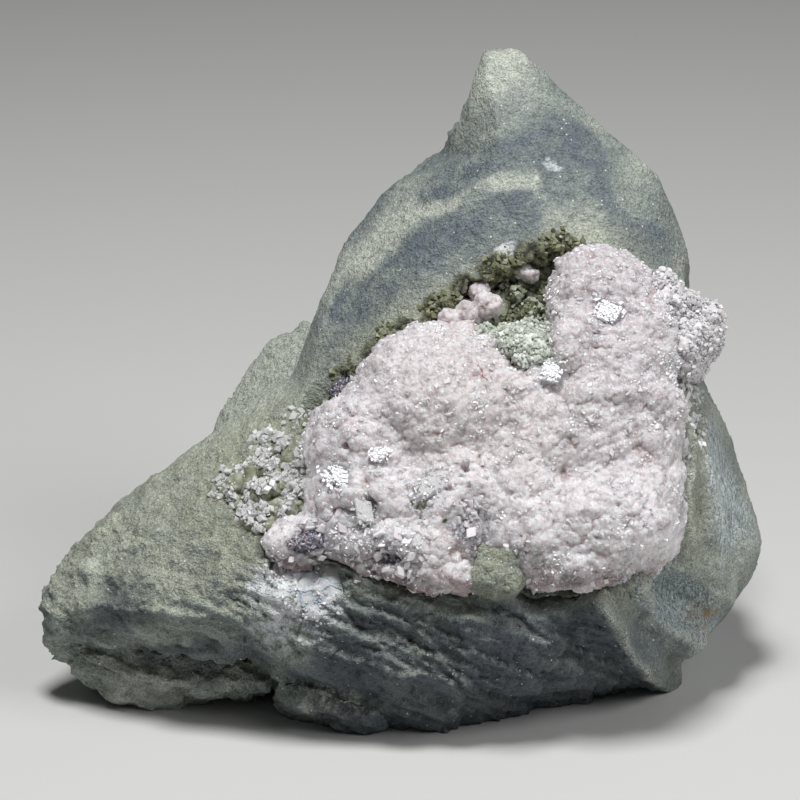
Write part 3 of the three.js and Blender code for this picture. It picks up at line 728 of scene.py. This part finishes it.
crust_finish, tree, shader = new_finish("pale pink rhodochrosite")
soft = grained(tree, 5, 0.5)
milky = grained(tree, 1, 0.4)
sugar = marked(tree, "sugar")
faces = glinting(tree, 0.36, rise(tree, sugar, 0, 1, 0.06, 0.75))
fine_faces = glinting(tree, 0.17, rise(tree, sugar, 0, 1, 0.1, 0.75))
glint = sum_up(tree, "MAXIMUM", faces["Glint"], fine_faces["Glint"])
place = put(tree, "ShaderNodeSeparateXYZ", {"Vector": object_place(tree)}).outputs
low_edge = times(tree, rise(tree, place["Z"], 25.5 * MM, 22 * MM),
                 rise(tree, soft["Patches"], 0.2, 0.7))
stain = times(tree, marked(tree, "stain"), rise(tree, soft["Grains"], 0.2, 0.8, 0.35, 1))
skin = blend(tree, rise(tree, place["X"], -10 * MM, 12 * MM), (222, 216, 221), (212, 202, 201))
skin = layer_on(tree, skin, [
    [rise(tree, place["X"], 14 * MM, 26 * MM), 1, (194, 187, 191)],
    [soft["Patches"], 0.4, (210, 205, 208)],
    # Painted shade and light: darker high on the crust and paler low down, evening out the lamp
    # from above.
    [rise(tree, place["Z"], 42 * MM, 55 * MM), 0.6, (172, 163, 169)],
    [rise(tree, place["Z"], 41 * MM, 30 * MM), 0.95, (242, 238, 241)],
    [rise(tree, milky["Patches"], 0.5, 1), 0.6, (228, 224, 226)],
    [rise(tree, milky["Patches"], 0.5, 0), 0.3, (176, 156, 153)],
    [rise(tree, milky["Grains"], 0.5, 1), 0.45, (240, 237, 239)],
    [rise(tree, milky["Grains"], 0.5, 0), 0.35, (170, 154, 152)],
    [rise(tree, marked(tree, "petal_tone"), 0, 1), 0.5, (216, 211, 213)],
    [rise(tree, marked(tree, "petal_height"), 0.2, 0.02), 0.6, (172, 146, 140)],
    ["hollow", 0.5, (176, 148, 140)],
    [low_edge, 0.75, (168, 144, 142)],
    # On the broken, down-facing lower edge: darker and browner, painted shade on the underside over
    # browner broken crust.
    ["broken", 0.9, blend(tree, soft["Patches"], (150, 126, 124), (104, 98, 108))],
    [stain, 0.8, (84, 84, 100)],
    # painted glints
    [glint, 1, (250, 250, 252)]])
facets = sum_up(tree, "ADD", milky["Relief"], times(tree, faces["Facet"], 0.6))
fill(shader, {
    "Base Color": skin, "Roughness": rise(tree, glint, 0, 1, 0.42, 0.12),
    "Subsurface Weight": 0.85, "Subsurface Radius": (1.0, 0.8, 0.78),
    "Subsurface Scale": 2.0 * MM, "Normal": raised(tree, facets, 0.26)})
crust.data.materials.append(crust_finish)
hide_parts("rhodochrosite_crust")
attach(crust, "root")

# ---- Crystals in the crust ---------------------------------------------------------------------
# Thousands of small rhombs of the same pale mineral and of calcite that stand out of the petals at
# all angles, most of them sunk to their middles.

RHOMB_EDGE = 0.06  # how much of a 1 mm crystal's edge is broken off
CRUST_CRYSTAL_SPACING = 0.9
CRUST_CRYSTAL_SIZE = (0.2, 0.85)
BEVELLED_FROM = 0.5  # mm: the edges of smaller crystals stay sharp
FLASH_OUT = np.array([-0.06, -0.65, 0.757])  # the way the flashing cleavage faces look
CRUST_BLADES = [  # [place, inner radius, outer radius]: where broad split plates stand out
    [(-10, -24.8, 27.5), 1, 3.4], [(-5.5, -26.2, 28), 1.5, 4], [(0, -27, 26.5), 1.5, 4.2],
    [(8, -25.8, 30.5), 0.4, 2.6]]
BLADE_SPACING = 1.5
BLADE_SIZE = (0.6, 1.35)
SPARKLE_SPACING = 0.4
SPARKLE_SIZE = (0.1, 0.3)


def rhomb_template(bevel):
    """The points and faces of a rhomb 1 mm across, with its edges broken by a flat if asked."""
    box = bpy.data.meshes.new("rhomb")
    half = 0.5
    corners = [(x, y, z) for x in (-half, half) for y in (-half, half) for z in (-half, half)]
    sides = [(0, 1, 3, 2), (4, 6, 7, 5), (0, 4, 5, 1), (2, 3, 7, 6), (0, 2, 6, 4), (1, 5, 7, 3)]
    box.from_pydata(corners, [], sides)
    holder = placed("rhomb", box)
    if bevel:
        shape_with(holder, "BEVEL", width=bevel, segments=1)
    points = np.array([vertex.co for vertex in holder.data.vertices])
    faces = [tuple(face.vertices) for face in holder.data.polygons]
    bpy.data.objects.remove(holder)
    lean = np.array([[1, 0.27, 0.27], [0, 1, 0.27], [0, 0, 1]])
    return points @ lean.T, faces


BEVELLED_RHOMB = rhomb_template(RHOMB_EDGE)
SHARP_RHOMB = rhomb_template(0)


def turned_frames(outs, tilt, draw):
    """A turned frame for each outward direction, tipped at random by about `tilt` radians."""
    outs = outs + draw.normal(0, tilt, outs.shape)
    outs /= np.linalg.norm(outs, axis=1)[:, None]
    sides = np.cross(outs, draw.normal(0, 1, outs.shape))
    sides /= np.linalg.norm(sides, axis=1)[:, None]
    return np.stack([sides, np.cross(outs, sides), outs], axis=2)


def mesh_piece(name, points, faces, finish):
    """A piece made from its points in mm and its faces. It rides with the specimen."""
    mesh = bpy.data.meshes.new(name)
    mesh.from_pydata((points * MM).tolist(), [], faces)
    piece = placed(name, mesh)
    piece.data.materials.append(finish)
    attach(piece, "root")
    return piece


def crystal_mass(name, centres, sizes, frames, finish):
    """One piece made of many rhombs, each with its own size and turn."""
    tones = np.random.default_rng(len(centres)).random(len(centres))
    bevelled = sizes.max(axis=1) > BEVELLED_FROM
    points, faces, point_tones = [], [], []
    for (corners, sides), chosen in ((BEVELLED_RHOMB, bevelled), (SHARP_RHOMB, ~bevelled)):
        first = sum(len(batch) for batch in points)
        rhombs = np.einsum("nij,nj,kj->nki", frames[chosen], sizes[chosen], corners)
        points.append((rhombs + centres[chosen][:, None, :]).reshape(-1, 3))
        point_tones.append(np.repeat(tones[chosen], len(corners)))
        for number in range(chosen.sum()):
            start = first + number * len(corners)
            faces.extend(tuple(start + corner for corner in side) for side in sides)
    piece = mesh_piece(name, np.concatenate(points), faces, finish)
    mark(piece, crystal_tone=np.concatenate(point_tones))
    return piece


def mixed_sizes(limits, count, draw):
    """Sizes between two limits, most of them small."""
    return np.exp(draw.uniform(*np.log(limits), count))


def stretched(sizes, *parts):
    """Each size in mm as a length, width and height."""
    return np.stack([sizes * part for part in parts], axis=1)


def crystal_finish(name, dull, bright, roughness, clearness):
    """Small standing crystals: each with its own tone, a little light going through."""
    finish, tree, shader = new_finish(name)
    grain = grained(tree, 1, 0.2)
    colour = blend(tree, marked(tree, "crystal_tone"), dull, bright)
    fill(shader, {
        "Base Color": layer_on(tree, colour, [[grain["Patches"], 0.3, dull]]),
        "Roughness": rise(tree, grain["Grains"], 0, 1, roughness + 0.1, roughness - 0.1),
        "Subsurface Weight": clearness, "Subsurface Radius": (1.0, 1.0, 0.95),
        "Subsurface Scale": 0.8 * MM, "Normal": raised(tree, grain["Relief"], 0.03)})
    return finish


draw = np.random.default_rng(17)
crust_crystal = crystal_finish("rhodochrosite crystal", (212, 205, 208), (236, 232, 234), 0.3, 0.9)
sparkle_finish = crystal_finish("sparkling cleavage", (228, 228, 231), (250, 250, 251), 0.22, 0.5)
crust_points = points_of(crust)
crust_normals = normals_of(crust)
standing = np.flatnonzero(above_seat(crust_points, -3) & (crust_normals @ SEAT_OUT > -0.2))
spots = spread(crust_points, standing, CRUST_CRYSTAL_SPACING, draw)
sizes = mixed_sizes(CRUST_CRYSTAL_SIZE, len(spots), draw)
sizes *= draw.uniform(0.6, 1, len(spots))
crystal_mass("crust_crystals", crust_points[spots] - crust_normals[spots] * 0.15,
             stretched(sizes, 1, 0.8, 0.55), turned_frames(crust_normals[spots], 0.35, draw),
             crust_crystal)

bladed = standing[near_spots(crust_points[standing], CRUST_BLADES) > draw.random(len(standing))]
spots = spread(crust_points, bladed, BLADE_SPACING, draw)
sizes = draw.uniform(*BLADE_SIZE, len(spots))
crystal_mass("crust_blades", crust_points[spots] - crust_normals[spots] * 0.22,
             stretched(sizes, 1, 0.8, 0.5), turned_frames(crust_normals[spots], 0.5, draw),
             crust_crystal)

spots = spread(crust_points, standing, SPARKLE_SPACING, draw)
share = 0.35 * sugar_clusters(crust_points[spots]) + 0.9 * near_spots(crust_points[spots], SUGARY)
spots = spots[draw.random(len(spots)) < 0.02 + share]
sizes = mixed_sizes(SPARKLE_SIZE, len(spots), draw)
crystal_mass("crust_sparkles", crust_points[spots] + crust_normals[spots] * 0.03,
             stretched(sizes, 1, 0.8, 0.3),
             turned_frames(np.tile(FLASH_OUT, (len(spots), 1)), 0.13, draw), sparkle_finish)

# ---- Beads of rhodochrosite --------------------------------------------------------------------
# Small round beads of the same pale mineral, each a ball of crystals that grew on its own in the
# open part of the cavity. They hang in a bunch above the crust, and one sits apart.

BEAD_VOXEL = 0.12

bead_finish, tree, shader = new_finish("pearly rhodochrosite bead")
pearl = grained(tree, 1.2, 0.25)
colour = blend(tree, pearl["Patches"], (186, 178, 180), (220, 213, 214))
bead_gap = rise(tree, marked(tree, "bead_gap"), 0, 1)
fill(shader, {
    "Base Color": layer_on(tree, colour, [[bead_gap, 0.45, (150, 132, 118)]]),
    "Roughness": rise(tree, pearl["Grains"], 0, 1, 0.65, 0.45),
    "Subsurface Weight": 0.85, "Subsurface Radius": (1.0, 0.8, 0.76),
    "Subsurface Scale": 1.8 * MM, "Normal": raised(tree, pearl["Relief"], 0.2)})

for node, name in (("bead_cluster", "bead_bunch"), ("lone_bead", "single_bead")):
    bead = copy_of(node, name)
    remesh(bead, BEAD_VOXEL)
    smooth(bead, 6)
    bead_points = points_of(bead)
    draw = np.random.default_rng(len(name))
    buds = grow_buds(bead_points, 1.2, (0.5, 1.1), draw)
    knobs = 0.4 * buds - 0.15 + layered(bead_points, [
        (0.5, swells, 2, 42), (0.3, swells, 0.9, 43), (0.2, clods, 0.7, 44)])
    move_points(bead, bead_points + normals_of(bead) * knobs[:, None])
    mark(bead, bead_gap=1 - ease(buds, 0, 0.2))
    bead.data.materials.append(bead_finish)
    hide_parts(node)
    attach(bead, "root")

# ---- Druses ------------------------------------------------------------------------------------
# Thin beds of tiny crystals that line the open rock round the crust: olive ones deep in the
# cavity, pale grey-green ones on the saddle and the left pocket, and white ones at the edges.
# Each is a granular floor with loose-standing rhombs on it.


def druse_finish(name, gap, floor, tip, roughness):
    """A floor of crystals: painted shade between the grains, and tips paler and brighter, partly
    their own colour and partly painted light.
    """
    finish, tree, shader = new_finish(name)
    grain = grained(tree, 1.6, 0.3)
    glint = glinting(tree, 0.3, 0.07)["Glint"]
    colour = blend(tree, rise(tree, marked(tree, "grain_top"), 0.35, 1), floor, tip)
    colour = layer_on(tree, colour, [
        [grain["Patches"], 0.35, floor],
        # painted shade between the grains
        [rise(tree, marked(tree, "grain_top"), 0.3, 0.02), 1, gap],
        # painted glints
        [glint, 1, (235, 238, 232)]])
    fill(shader, {"Base Color": colour, "Roughness": rise(tree, glint, 0, 1, roughness, 0.15),
                  "Normal": raised(tree, grain["Relief"], 0.08)})
    return finish


olive_floor = druse_finish("olive druse floor", (30, 30, 22), (92, 92, 68), (140, 144, 118), 0.6)
pale_floor = druse_finish("pale druse floor", (46, 46, 32), (112, 114, 88), (172, 176, 160), 0.5)
saddle_floor = druse_finish(
    "saddle druse floor", (136, 142, 118), (196, 201, 191), (226, 228, 224), 0.5)
clump_floor = druse_finish(
    "clump calcite floor", (112, 117, 124), (192, 188, 191), (230, 225, 226), 0.45)
olive_crystal = crystal_finish("olive druse crystal", (104, 106, 80), (178, 184, 166), 0.4, 0.2)
pale_crystal = crystal_finish("pale druse crystal", (192, 193, 190), (242, 241, 241), 0.32, 0.6)
saddle_crystal = crystal_finish(
    "saddle druse crystal", (168, 175, 160), (222, 227, 219), 0.35, 0.5)
white_crystal = crystal_finish(
    "white calcite crystal", (200, 198, 201), (236, 233, 234), 0.3, 0.6)

marbled_floor, tree, shader = new_finish("marbled white calcite")
clouds = grained(tree, 3.6, 0.5)
flecks = grained(tree, 1.3, 0.25)
green_share = times(tree, marked(tree, "green"), rise(tree, flecks["Patches"], 0, 1, 1, 0.4))
colour = blend(tree, clouds["Patches"], (138, 148, 160), (230, 231, 231))
colour = layer_on(tree, colour, [
    [flecks["Patches"], 0.5, (232, 231, 228)], [green_share, 1, (146, 155, 126)]])
fill(shader, {
    "Base Color": colour, "Roughness": rise(tree, flecks["Grains"], 0, 1, 0.6, 0.35),
    "Subsurface Weight": 0.3, "Subsurface Scale": 0.6 * MM,
    "Normal": raised(tree, flecks["Relief"], 0.12)})

# [node, floor finish, crystal finish, slot, times smoothed, how far it is swollen, how much it is
#  flattened on to the rock, clod size, clod depth, share with crystals, crystal spacing, size]
DRUSES = [
    ["upper_cavity_druse", olive_floor, olive_crystal, "olive_druse",
     3, 0.0, 0.0, 1.9, 1.2, 0.8, 0.6, (0.2, 0.9)],
    ["slot_druse", olive_floor, olive_crystal, "olive_druse",
     3, 0.0, 0.0, 1.6, 0.9, 0.8, 0.6, (0.2, 0.8)],
    ["saddle_druse", saddle_floor, saddle_crystal, "pale_druse",
     16, 0.1, 0.0, 1.5, 0.7, 0.9, 0.45, (0.15, 0.6)],
    ["left_druse", pale_floor, pale_crystal, "pale_druse",
     4, 0.3, 0.0, 2.2, 1.3, 0.5, 0.42, (0.15, 0.85)],
    ["calcite_patch", marbled_floor, white_crystal, "white_calcite",
     20, 1.3, 0.8, 2.2, 0.5, 0.3, 0.6, (0.1, 0.4)],
    ["edge_cluster", clump_floor, white_crystal, "white_calcite",
     6, 0.6, 0.0, 1.8, 0.8, 0.8, 0.5, (0.15, 0.6)],
]
GREEN_SPOT = [(-8.6, -28.6, 23.2), 0.8, 2.6]
DRUSE_VOXEL = 0.2
rock_points = points_of(rock)
rock_normals = normals_of(rock)

for number, row in enumerate(DRUSES):
    node, floor_finish, standing_finish, slot, *shape = row
    times_smoothed, swollen, flattened, clod, depth, share, spacing, size = shape
    draw = np.random.default_rng(100 + number)
    floor = copy_of(node, node + "_floor")
    remesh(floor, DRUSE_VOXEL)
    smooth(floor, times_smoothed)
    floor_points = points_of(floor)
    knobs = grow_buds(floor_points, 0.75 * clod, (0.35 * clod, 0.8 * clod), draw)
    coarse = np.clip(knobs / (0.3 * clod), 0, 1)
    small = clods(floor_points, 0.75, 60 + number)
    outward = normals_of(floor)
    floor_points += outward * swollen
    if flattened:
        bed = (distance_to(rock_points, [node], 2.5) < 2.2) & (rock_normals @ SEAT_OUT > 0.2)
        bed_out = rock_normals[bed].mean(axis=0)
        bed_out /= np.linalg.norm(bed_out)
        above = (floor_points - rock_points[bed].mean(axis=0)) @ bed_out
        floor_points -= np.outer(flattened * np.maximum(above, 0), bed_out)
    floor_points += outward * (depth * (coarse - 0.6) + 0.25 * small)[:, None]
    move_points(floor, floor_points)
    mark(floor, grain_top=0.55 * coarse + 0.45 * small,
         green=near_spot(floor_points, *GREEN_SPOT))
    floor.data.materials.append(floor_finish)
    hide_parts(node)
    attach(floor, "root")

    outward = normals_of(floor)
    bare = swells(floor_points, 2.2, 80 + number) > share - 0.45
    open_side = np.flatnonzero((outward @ SEAT_OUT > -0.1) & (coarse > 0.3) & ~bare)
    spots = spread(floor_points, open_side, spacing, draw)
    sizes = mixed_sizes(size, len(spots), draw)
    shape = stretched(sizes, 1, 0.9, draw.uniform(0.7, 1.2, len(spots)))
    crystal_mass(node + "_crystals", floor_points[spots] + outward[spots] * 0.1, shape,
                 turned_frames(outward[spots], 0.45, draw), standing_finish)

# ---- Crystals along the cavity's rim -----------------------------------------------------------
# The druses don't stop at the cavity's edge: loose olive grains run on over the rock above it, and
# pale ones over the right edge and round the left pocket.

rim_crystal = crystal_finish("olive rim crystal", (86, 88, 62), (150, 152, 122), 0.45, 0.2)

# [name, finish, slot, places as [centre, radius], spacing, crystal size]
RIM_GROWTHS = [
    ["upper_rim_crystals", rim_crystal, "olive_druse",
     [[(20, -3.5, 55.8), 4], [(13, -4.5, 54), 3.5], [(5, -6.5, 50), 3], [(-2, -6.5, 46), 2.6],
      [(-8, -7, 42), 3]], 0.55, (0.2, 0.7)],
    ["right_rim_crystals", pale_crystal, "pale_druse",
     [[(35.5, -11, 40), 4], [(35.5, -11.5, 36), 3.5], [(33.5, -9, 46), 4]], 0.8, (0.25, 0.9)],
    ["crust_rim_crystals", crust_crystal, "rhodochrosite",
     [[(31.5, -9, 50), 4], [(33.5, -11, 46), 4], [(33.8, -14, 41), 3], [(33.5, -17, 35), 2.5],
      [(31, -20.5, 29), 3], [(24, -24.5, 25), 3], [(-11, -23.5, 26), 3.5],
      [(13.5, -27.5, 27.5), 1.8]], 0.6, (0.3, 0.9)],
    ["left_rim_crystals", pale_crystal, "pale_druse",
     [[(-20, -13, 30), 4], [(-17, -9, 33.5), 3.5], [(-12.5, -8, 37), 3]], 0.9, (0.25, 0.9)],
    ["white_patch_crystals", white_crystal, "white_calcite",
     [[(-13, -25, 21.5), 4.5], [(-10, -27, 19), 3.5]], 0.7, (0.12, 0.4)],
]
for number, (name, finish, slot, patches, spacing, size) in enumerate(RIM_GROWTHS):
    draw = np.random.default_rng(200 + number)
    closeness = np.max([near_spot(rock_points, centre, 0.4 * radius, radius)
                        for centre, radius in patches], axis=0)
    closeness *= rock_normals @ SEAT_OUT > -0.2
    taken = np.flatnonzero(closeness > draw.random(len(rock_points)))
    spots = spread(rock_points, taken, spacing, draw)
    shape = stretched(mixed_sizes(size, len(spots), draw), 1, 0.9, 0.8)
    crystal_mass(name, rock_points[spots], shape,
                 turned_frames(rock_normals[spots], 0.5, draw), finish)

# ---- Calcite crystals --------------------------------------------------------------------------
# Single rhombs of calcite that stand in the crust, stepped where thin plates of them split away.
# Four are milky and flash white off those parallel steps; a block and a flake are clear.


def calcite_finish(name, dull, bright, rough, smoothest, clearness):
    """Calcite or glass that lets through a given share of the light, with faint veils in it."""
    finish, tree, shader = new_finish(name)
    veils = grained(tree, 1.4, 0.3)
    fill(shader, {
        "Base Color": blend(tree, veils["Patches"], dull, bright),
        "Roughness": rise(tree, veils["Grains"], 0, 1, smoothest, rough),
        "Transmission Weight": clearness, "IOR": 1.6,
        "Normal": raised(tree, veils["Grains"], 0.015)})
    return finish, tree


milky_calcite, _ = calcite_finish(
    "milky calcite", (232, 232, 235), (250, 250, 251), 0.45, 0.2, 0.1)
clear_calcite, tree = calcite_finish(
    "clear calcite", (244, 243, 246), (254, 254, 254), 0.3, 0.08, 0.4)
absorb = put(tree, "ShaderNodeVolumeAbsorption", {"Color": tint(225, 228, 228), "Density": 60.0})
fill(tree.nodes["Material Output"], {"Volume": absorb.outputs["Volume"]})


PLATE_LEAST = (0.12, 0.12, 0.15)  # mm, the smallest split plate and the largest
PLATE_MOST = (0.42, 0.34, 0.4)


def middle_of(node):
    low_corner, high_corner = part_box(node)
    return np.array((low_corner + high_corner) / 2) / MM


def stepped_calcite(node, size, steps, spill, out, finish, draw):
    """A rhomb with many small plates split away from its face, all lying nearly the same way."""
    frame_of_one = turned_frames(out[None, :], 0.02, draw)
    leans = turned_frames(np.tile(out, (steps, 1)), 0.14, draw)
    frames = np.concatenate([frame_of_one, leans])
    size = np.array(size)
    shape = np.vstack([size, draw.uniform(PLATE_LEAST, PLATE_MOST, (steps, 3))])
    shift = np.clip(draw.normal(0, spill, (steps, 3)), -1, 1) * size
    shift[:, 2] = draw.uniform(0.2, 0.55, steps) * size[2]
    centres = middle_of(node) + np.vstack([np.zeros(3), shift]) @ frame_of_one[0].T
    piece = crystal_mass(node + "_calcite", centres, shape, frames, finish)
    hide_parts(node)


# [node, size of the main rhomb, number of split plates, how far they spill past it, the way its
#  split faces look, finish]
SPLIT_CALCITES = [
    ["glinting_crystal_left", (2.1, 1.9, 1.2), 260, 0.42, FLASH_OUT, milky_calcite],
    ["glinting_crystal_middle", (1.3, 1.0, 1.2), 130, 0.45, FLASH_OUT, milky_calcite],
    ["glinting_crystal_saddle", (1.4, 1.1, 1.0), 280, 0.6, FLASH_OUT, milky_calcite],
    ["glinting_crystal_upper", (1.3, 1.1, 1.0), 260, 0.6, FLASH_OUT, milky_calcite],
    ["clear_crystal_block", (2.6, 2.1, 2.2), 60, 0.42, np.array([0.35, -0.85, 0.4]), clear_calcite],
    ["clear_crystal_flake", (3.2, 2.0, 0.8), 90, 0.5, np.array([-0.15, -0.8, 0.58]), clear_calcite],
]
draw = np.random.default_rng(29)
for node, size, steps, spill, out, finish in SPLIT_CALCITES:
    stepped_calcite(node, size, steps, spill, out, finish, draw)

# ---- Sulphide specks ---------------------------------------------------------------------------
# Specks of dark lead-grey sulphide, broken across its shiny, finely striped cleavage. They lie in
# the crust's lower edge and in the slot on its left.

sulphide_finish, tree, shader = new_finish("dark sulphide")
stripes = grained(tree, 0.9, 0.22)
metal = blend(tree, marked(tree, "crystal_tone"), (72, 74, 88), (150, 150, 160))
veil = rise(tree, stripes["Patches"], 0.45, 0.8)
fill(shader, {
    "Base Color": blend(tree, veil, metal, (176, 168, 174)),
    "Roughness": rise(tree, stripes["Grains"], 0, 1, 0.45, 0.2), "Metallic": 0.4,
    "Normal": raised(tree, stripes["Relief"], 0.08)})

SPECK_VOXEL = 0.16
draw = np.random.default_rng(37)
for node in ["sulphide_speck_left", "sulphide_speck_middle", "sulphide_speck_slot"]:
    speck = copy_of(node, node + "_core")
    remesh(speck, SPECK_VOXEL)
    speck_points = points_of(speck)
    lumps = layered(speck_points, [(0.5, swells, 1.3, 70), (0.2, swells, 0.5, 71)]) - 0.35
    speck_points += normals_of(speck) * lumps[:, None]
    move_points(speck, speck_points)
    mark(speck, crystal_tone=0.5 + 0.5 * swells(speck_points, 0.8, 72))
    speck.data.materials.append(sulphide_finish)
    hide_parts(node)
    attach(speck, "root")

    speck_normals = normals_of(speck)
    outer = np.flatnonzero(speck_normals @ SEAT_OUT > -0.3)
    spots = spread(speck_points, outer, 0.42, draw)
    sizes = draw.uniform(0.2, 0.7, (len(spots), 3)) * np.array([1.0, 0.8, 0.35])
    crystal_mass(node + "_blades", speck_points[spots], sizes,
                 turned_frames(speck_normals[spots], 0.5, draw), sulphide_finish)

# ---- Odd small things on the crust -------------------------------------------------------------
# A stray red fibre lies across the crust's smooth mound, a few green grains of rock are caught in
# it lower down, and two clear round droplets sit at the edge of the bare rock window.

crust_points = points_of(crust)
crust_normals = normals_of(crust)
crust_places = search_tree(crust_points)


def on_crust(place, lift):
    """The spot on the crust's surface nearest to a place, raised by `lift` mm."""
    index = crust_places.find(place)[1]
    return crust_points[index] + lift * crust_normals[index]


FIBRE_RADIUS = 0.055
FIBRE_SIDES = 6
fibre_finish, tree, shader = new_finish("red fibre")
worn = grained(tree, 0.8, 0.1)
fill(shader, {"Base Color": blend(tree, worn["Patches"], (150, 62, 58), (196, 104, 94)),
              "Roughness": rise(tree, worn["Grains"], 0, 1, 0.7, 0.5)})
fibre_path = np.array([on_crust(place, 0.12) for place in (
    (9.3, -17.6, 46.2), (9.6, -18.0, 45.7), (9.9, -18.2, 45.2), (10.3, -18.5, 44.7))])
fibre_path[1:3] += 0.06 * SEAT_OUT
rings = []
for index, centre in enumerate(fibre_path):
    along = fibre_path[min(index + 1, 3)] - fibre_path[max(index - 1, 0)]
    along /= np.linalg.norm(along)
    side = np.cross(along, SEAT_OUT)
    side /= np.linalg.norm(side)
    over = np.cross(side, along)
    for turn in np.arange(FIBRE_SIDES) * 2 * math.pi / FIBRE_SIDES:
        rings.append(centre + FIBRE_RADIUS * (math.cos(turn) * side + math.sin(turn) * over))
walls = [tuple(range(FIBRE_SIDES))[::-1], tuple(range(3 * FIBRE_SIDES, 4 * FIBRE_SIDES))]
for start in range(0, 3 * FIBRE_SIDES, FIBRE_SIDES):
    for side in range(FIBRE_SIDES):
        beside = (side + 1) % FIBRE_SIDES
        walls.append((start + side, start + beside, start + beside + FIBRE_SIDES,
                      start + side + FIBRE_SIDES))
fibre = mesh_piece("red_fibre", np.array(rings), walls, fibre_finish)
fibre.data.shade_smooth()

draw = np.random.default_rng(43)
GREEN_GRAINS = 14
green_finish = crystal_finish("green rock grain", (84, 98, 66), (128, 140, 104), 0.5, 0.1)
centres = np.array([on_crust(np.array((3.0, -24.6, 30.8)) + draw.normal(0, 0.7, 3), 0.05)
                    for _ in range(GREEN_GRAINS)])
crystal_mass("green_grains", centres, draw.uniform(0.15, 0.55, (len(centres), 3)),
             turned_frames(np.tile(SEAT_OUT, (len(centres), 1)), 0.8, draw), green_finish)

DROPLET_RINGS = 16
DROPLET_HEIGHT = 0.92  # against its width
drop_finish, _ = calcite_finish(
    "clear droplet", (238, 240, 240), (250, 250, 250), 0.06, 0.02, 0.9)
for name, place, radius in (("clear_droplet_upper", (13.6, -27.6, 27.4), 0.34),
                            ("clear_droplet_lower", (14.2, -27.8, 26.2), 0.3)):
    centre = on_crust(place, 0.6 * radius)
    points, walls = [], []
    for row in range(1, DROPLET_RINGS):
        slope = math.pi * row / DROPLET_RINGS
        for turn in np.arange(2 * DROPLET_RINGS) * math.pi / DROPLET_RINGS:
            points.append((math.sin(slope) * math.cos(turn), math.sin(slope) * math.sin(turn),
                           DROPLET_HEIGHT * math.cos(slope)))
    points += [(0, 0, DROPLET_HEIGHT), (0, 0, -DROPLET_HEIGHT)]
    around = 2 * DROPLET_RINGS
    last = (DROPLET_RINGS - 2) * around
    for side in range(around):
        beside = (side + 1) % around
        walls.append((side, beside, len(points) - 2))
        walls.append((last + beside, last + side, len(points) - 1))
        for start in range(0, last, around):
            walls.append((start + side, start + side + around, start + beside + around,
                          start + beside))
    droplet = mesh_piece(name, centre + radius * np.array(points), walls, drop_finish)
    droplet.data.shade_smooth()

# ---- Studio ------------------------------------------------------------------------------------
# The specimen stands on a plain pale floor, under one broad soft light from above and a weaker
# one from the right, and is looked down on at a shallow angle.

FLOOR_REACH = 3.0  # m
floor_mesh = bpy.data.meshes.new("studio_floor")
floor_corners = [(-1, -1, 0), (1, -1, 0), (1, 1, 0), (-1, 1, 0)]
floor_mesh.from_pydata((FLOOR_REACH * np.array(floor_corners)).tolist(), [], [(0, 1, 2, 3)])
studio_floor = placed("studio_floor", floor_mesh)
floor_finish, tree, shader = new_finish("pale paper")
fill(shader, {"Base Color": tint(198, 198, 196), "Roughness": 0.9})
studio_floor.data.materials.append(floor_finish)


def soft_light(name, place, aim, size, watts):
    lamp = bpy.data.lights.new(name, "AREA")
    lamp.shape = "DISK"
    lamp.size = size
    lamp.energy = watts
    holder = placed(name, lamp)
    holder.location = place
    holder.rotation_euler = (Vector(aim) - Vector(place)).to_track_quat("-Z", "Y").to_euler()


SPECIMEN_MIDDLE = (0, 0, 0.03)
soft_light("overhead", (-0.04, -0.12, 0.55), SPECIMEN_MIDDLE, 0.15, 2.95)
soft_light("right_fill", (0.42, -0.25, 0.42), SPECIMEN_MIDDLE, 0.3, 1.5)

world = bpy.data.worlds.new("studio")
world.use_nodes = True
fill(world.node_tree.nodes["Background"], {"Color": (0.8, 0.82, 0.85, 1), "Strength": 0.07})
bpy.context.scene.world = world
bpy.context.scene.view_settings.view_transform = "Standard"

LENS = 154.8  # mm
camera_data = bpy.data.cameras.new("view")
camera_data.lens = LENS
camera = placed("view", camera_data)
camera.location = (0, -0.40407, 0.18257)
camera.rotation_euler = (math.radians(70), 0, 0)
bpy.context.scene.camera = camera
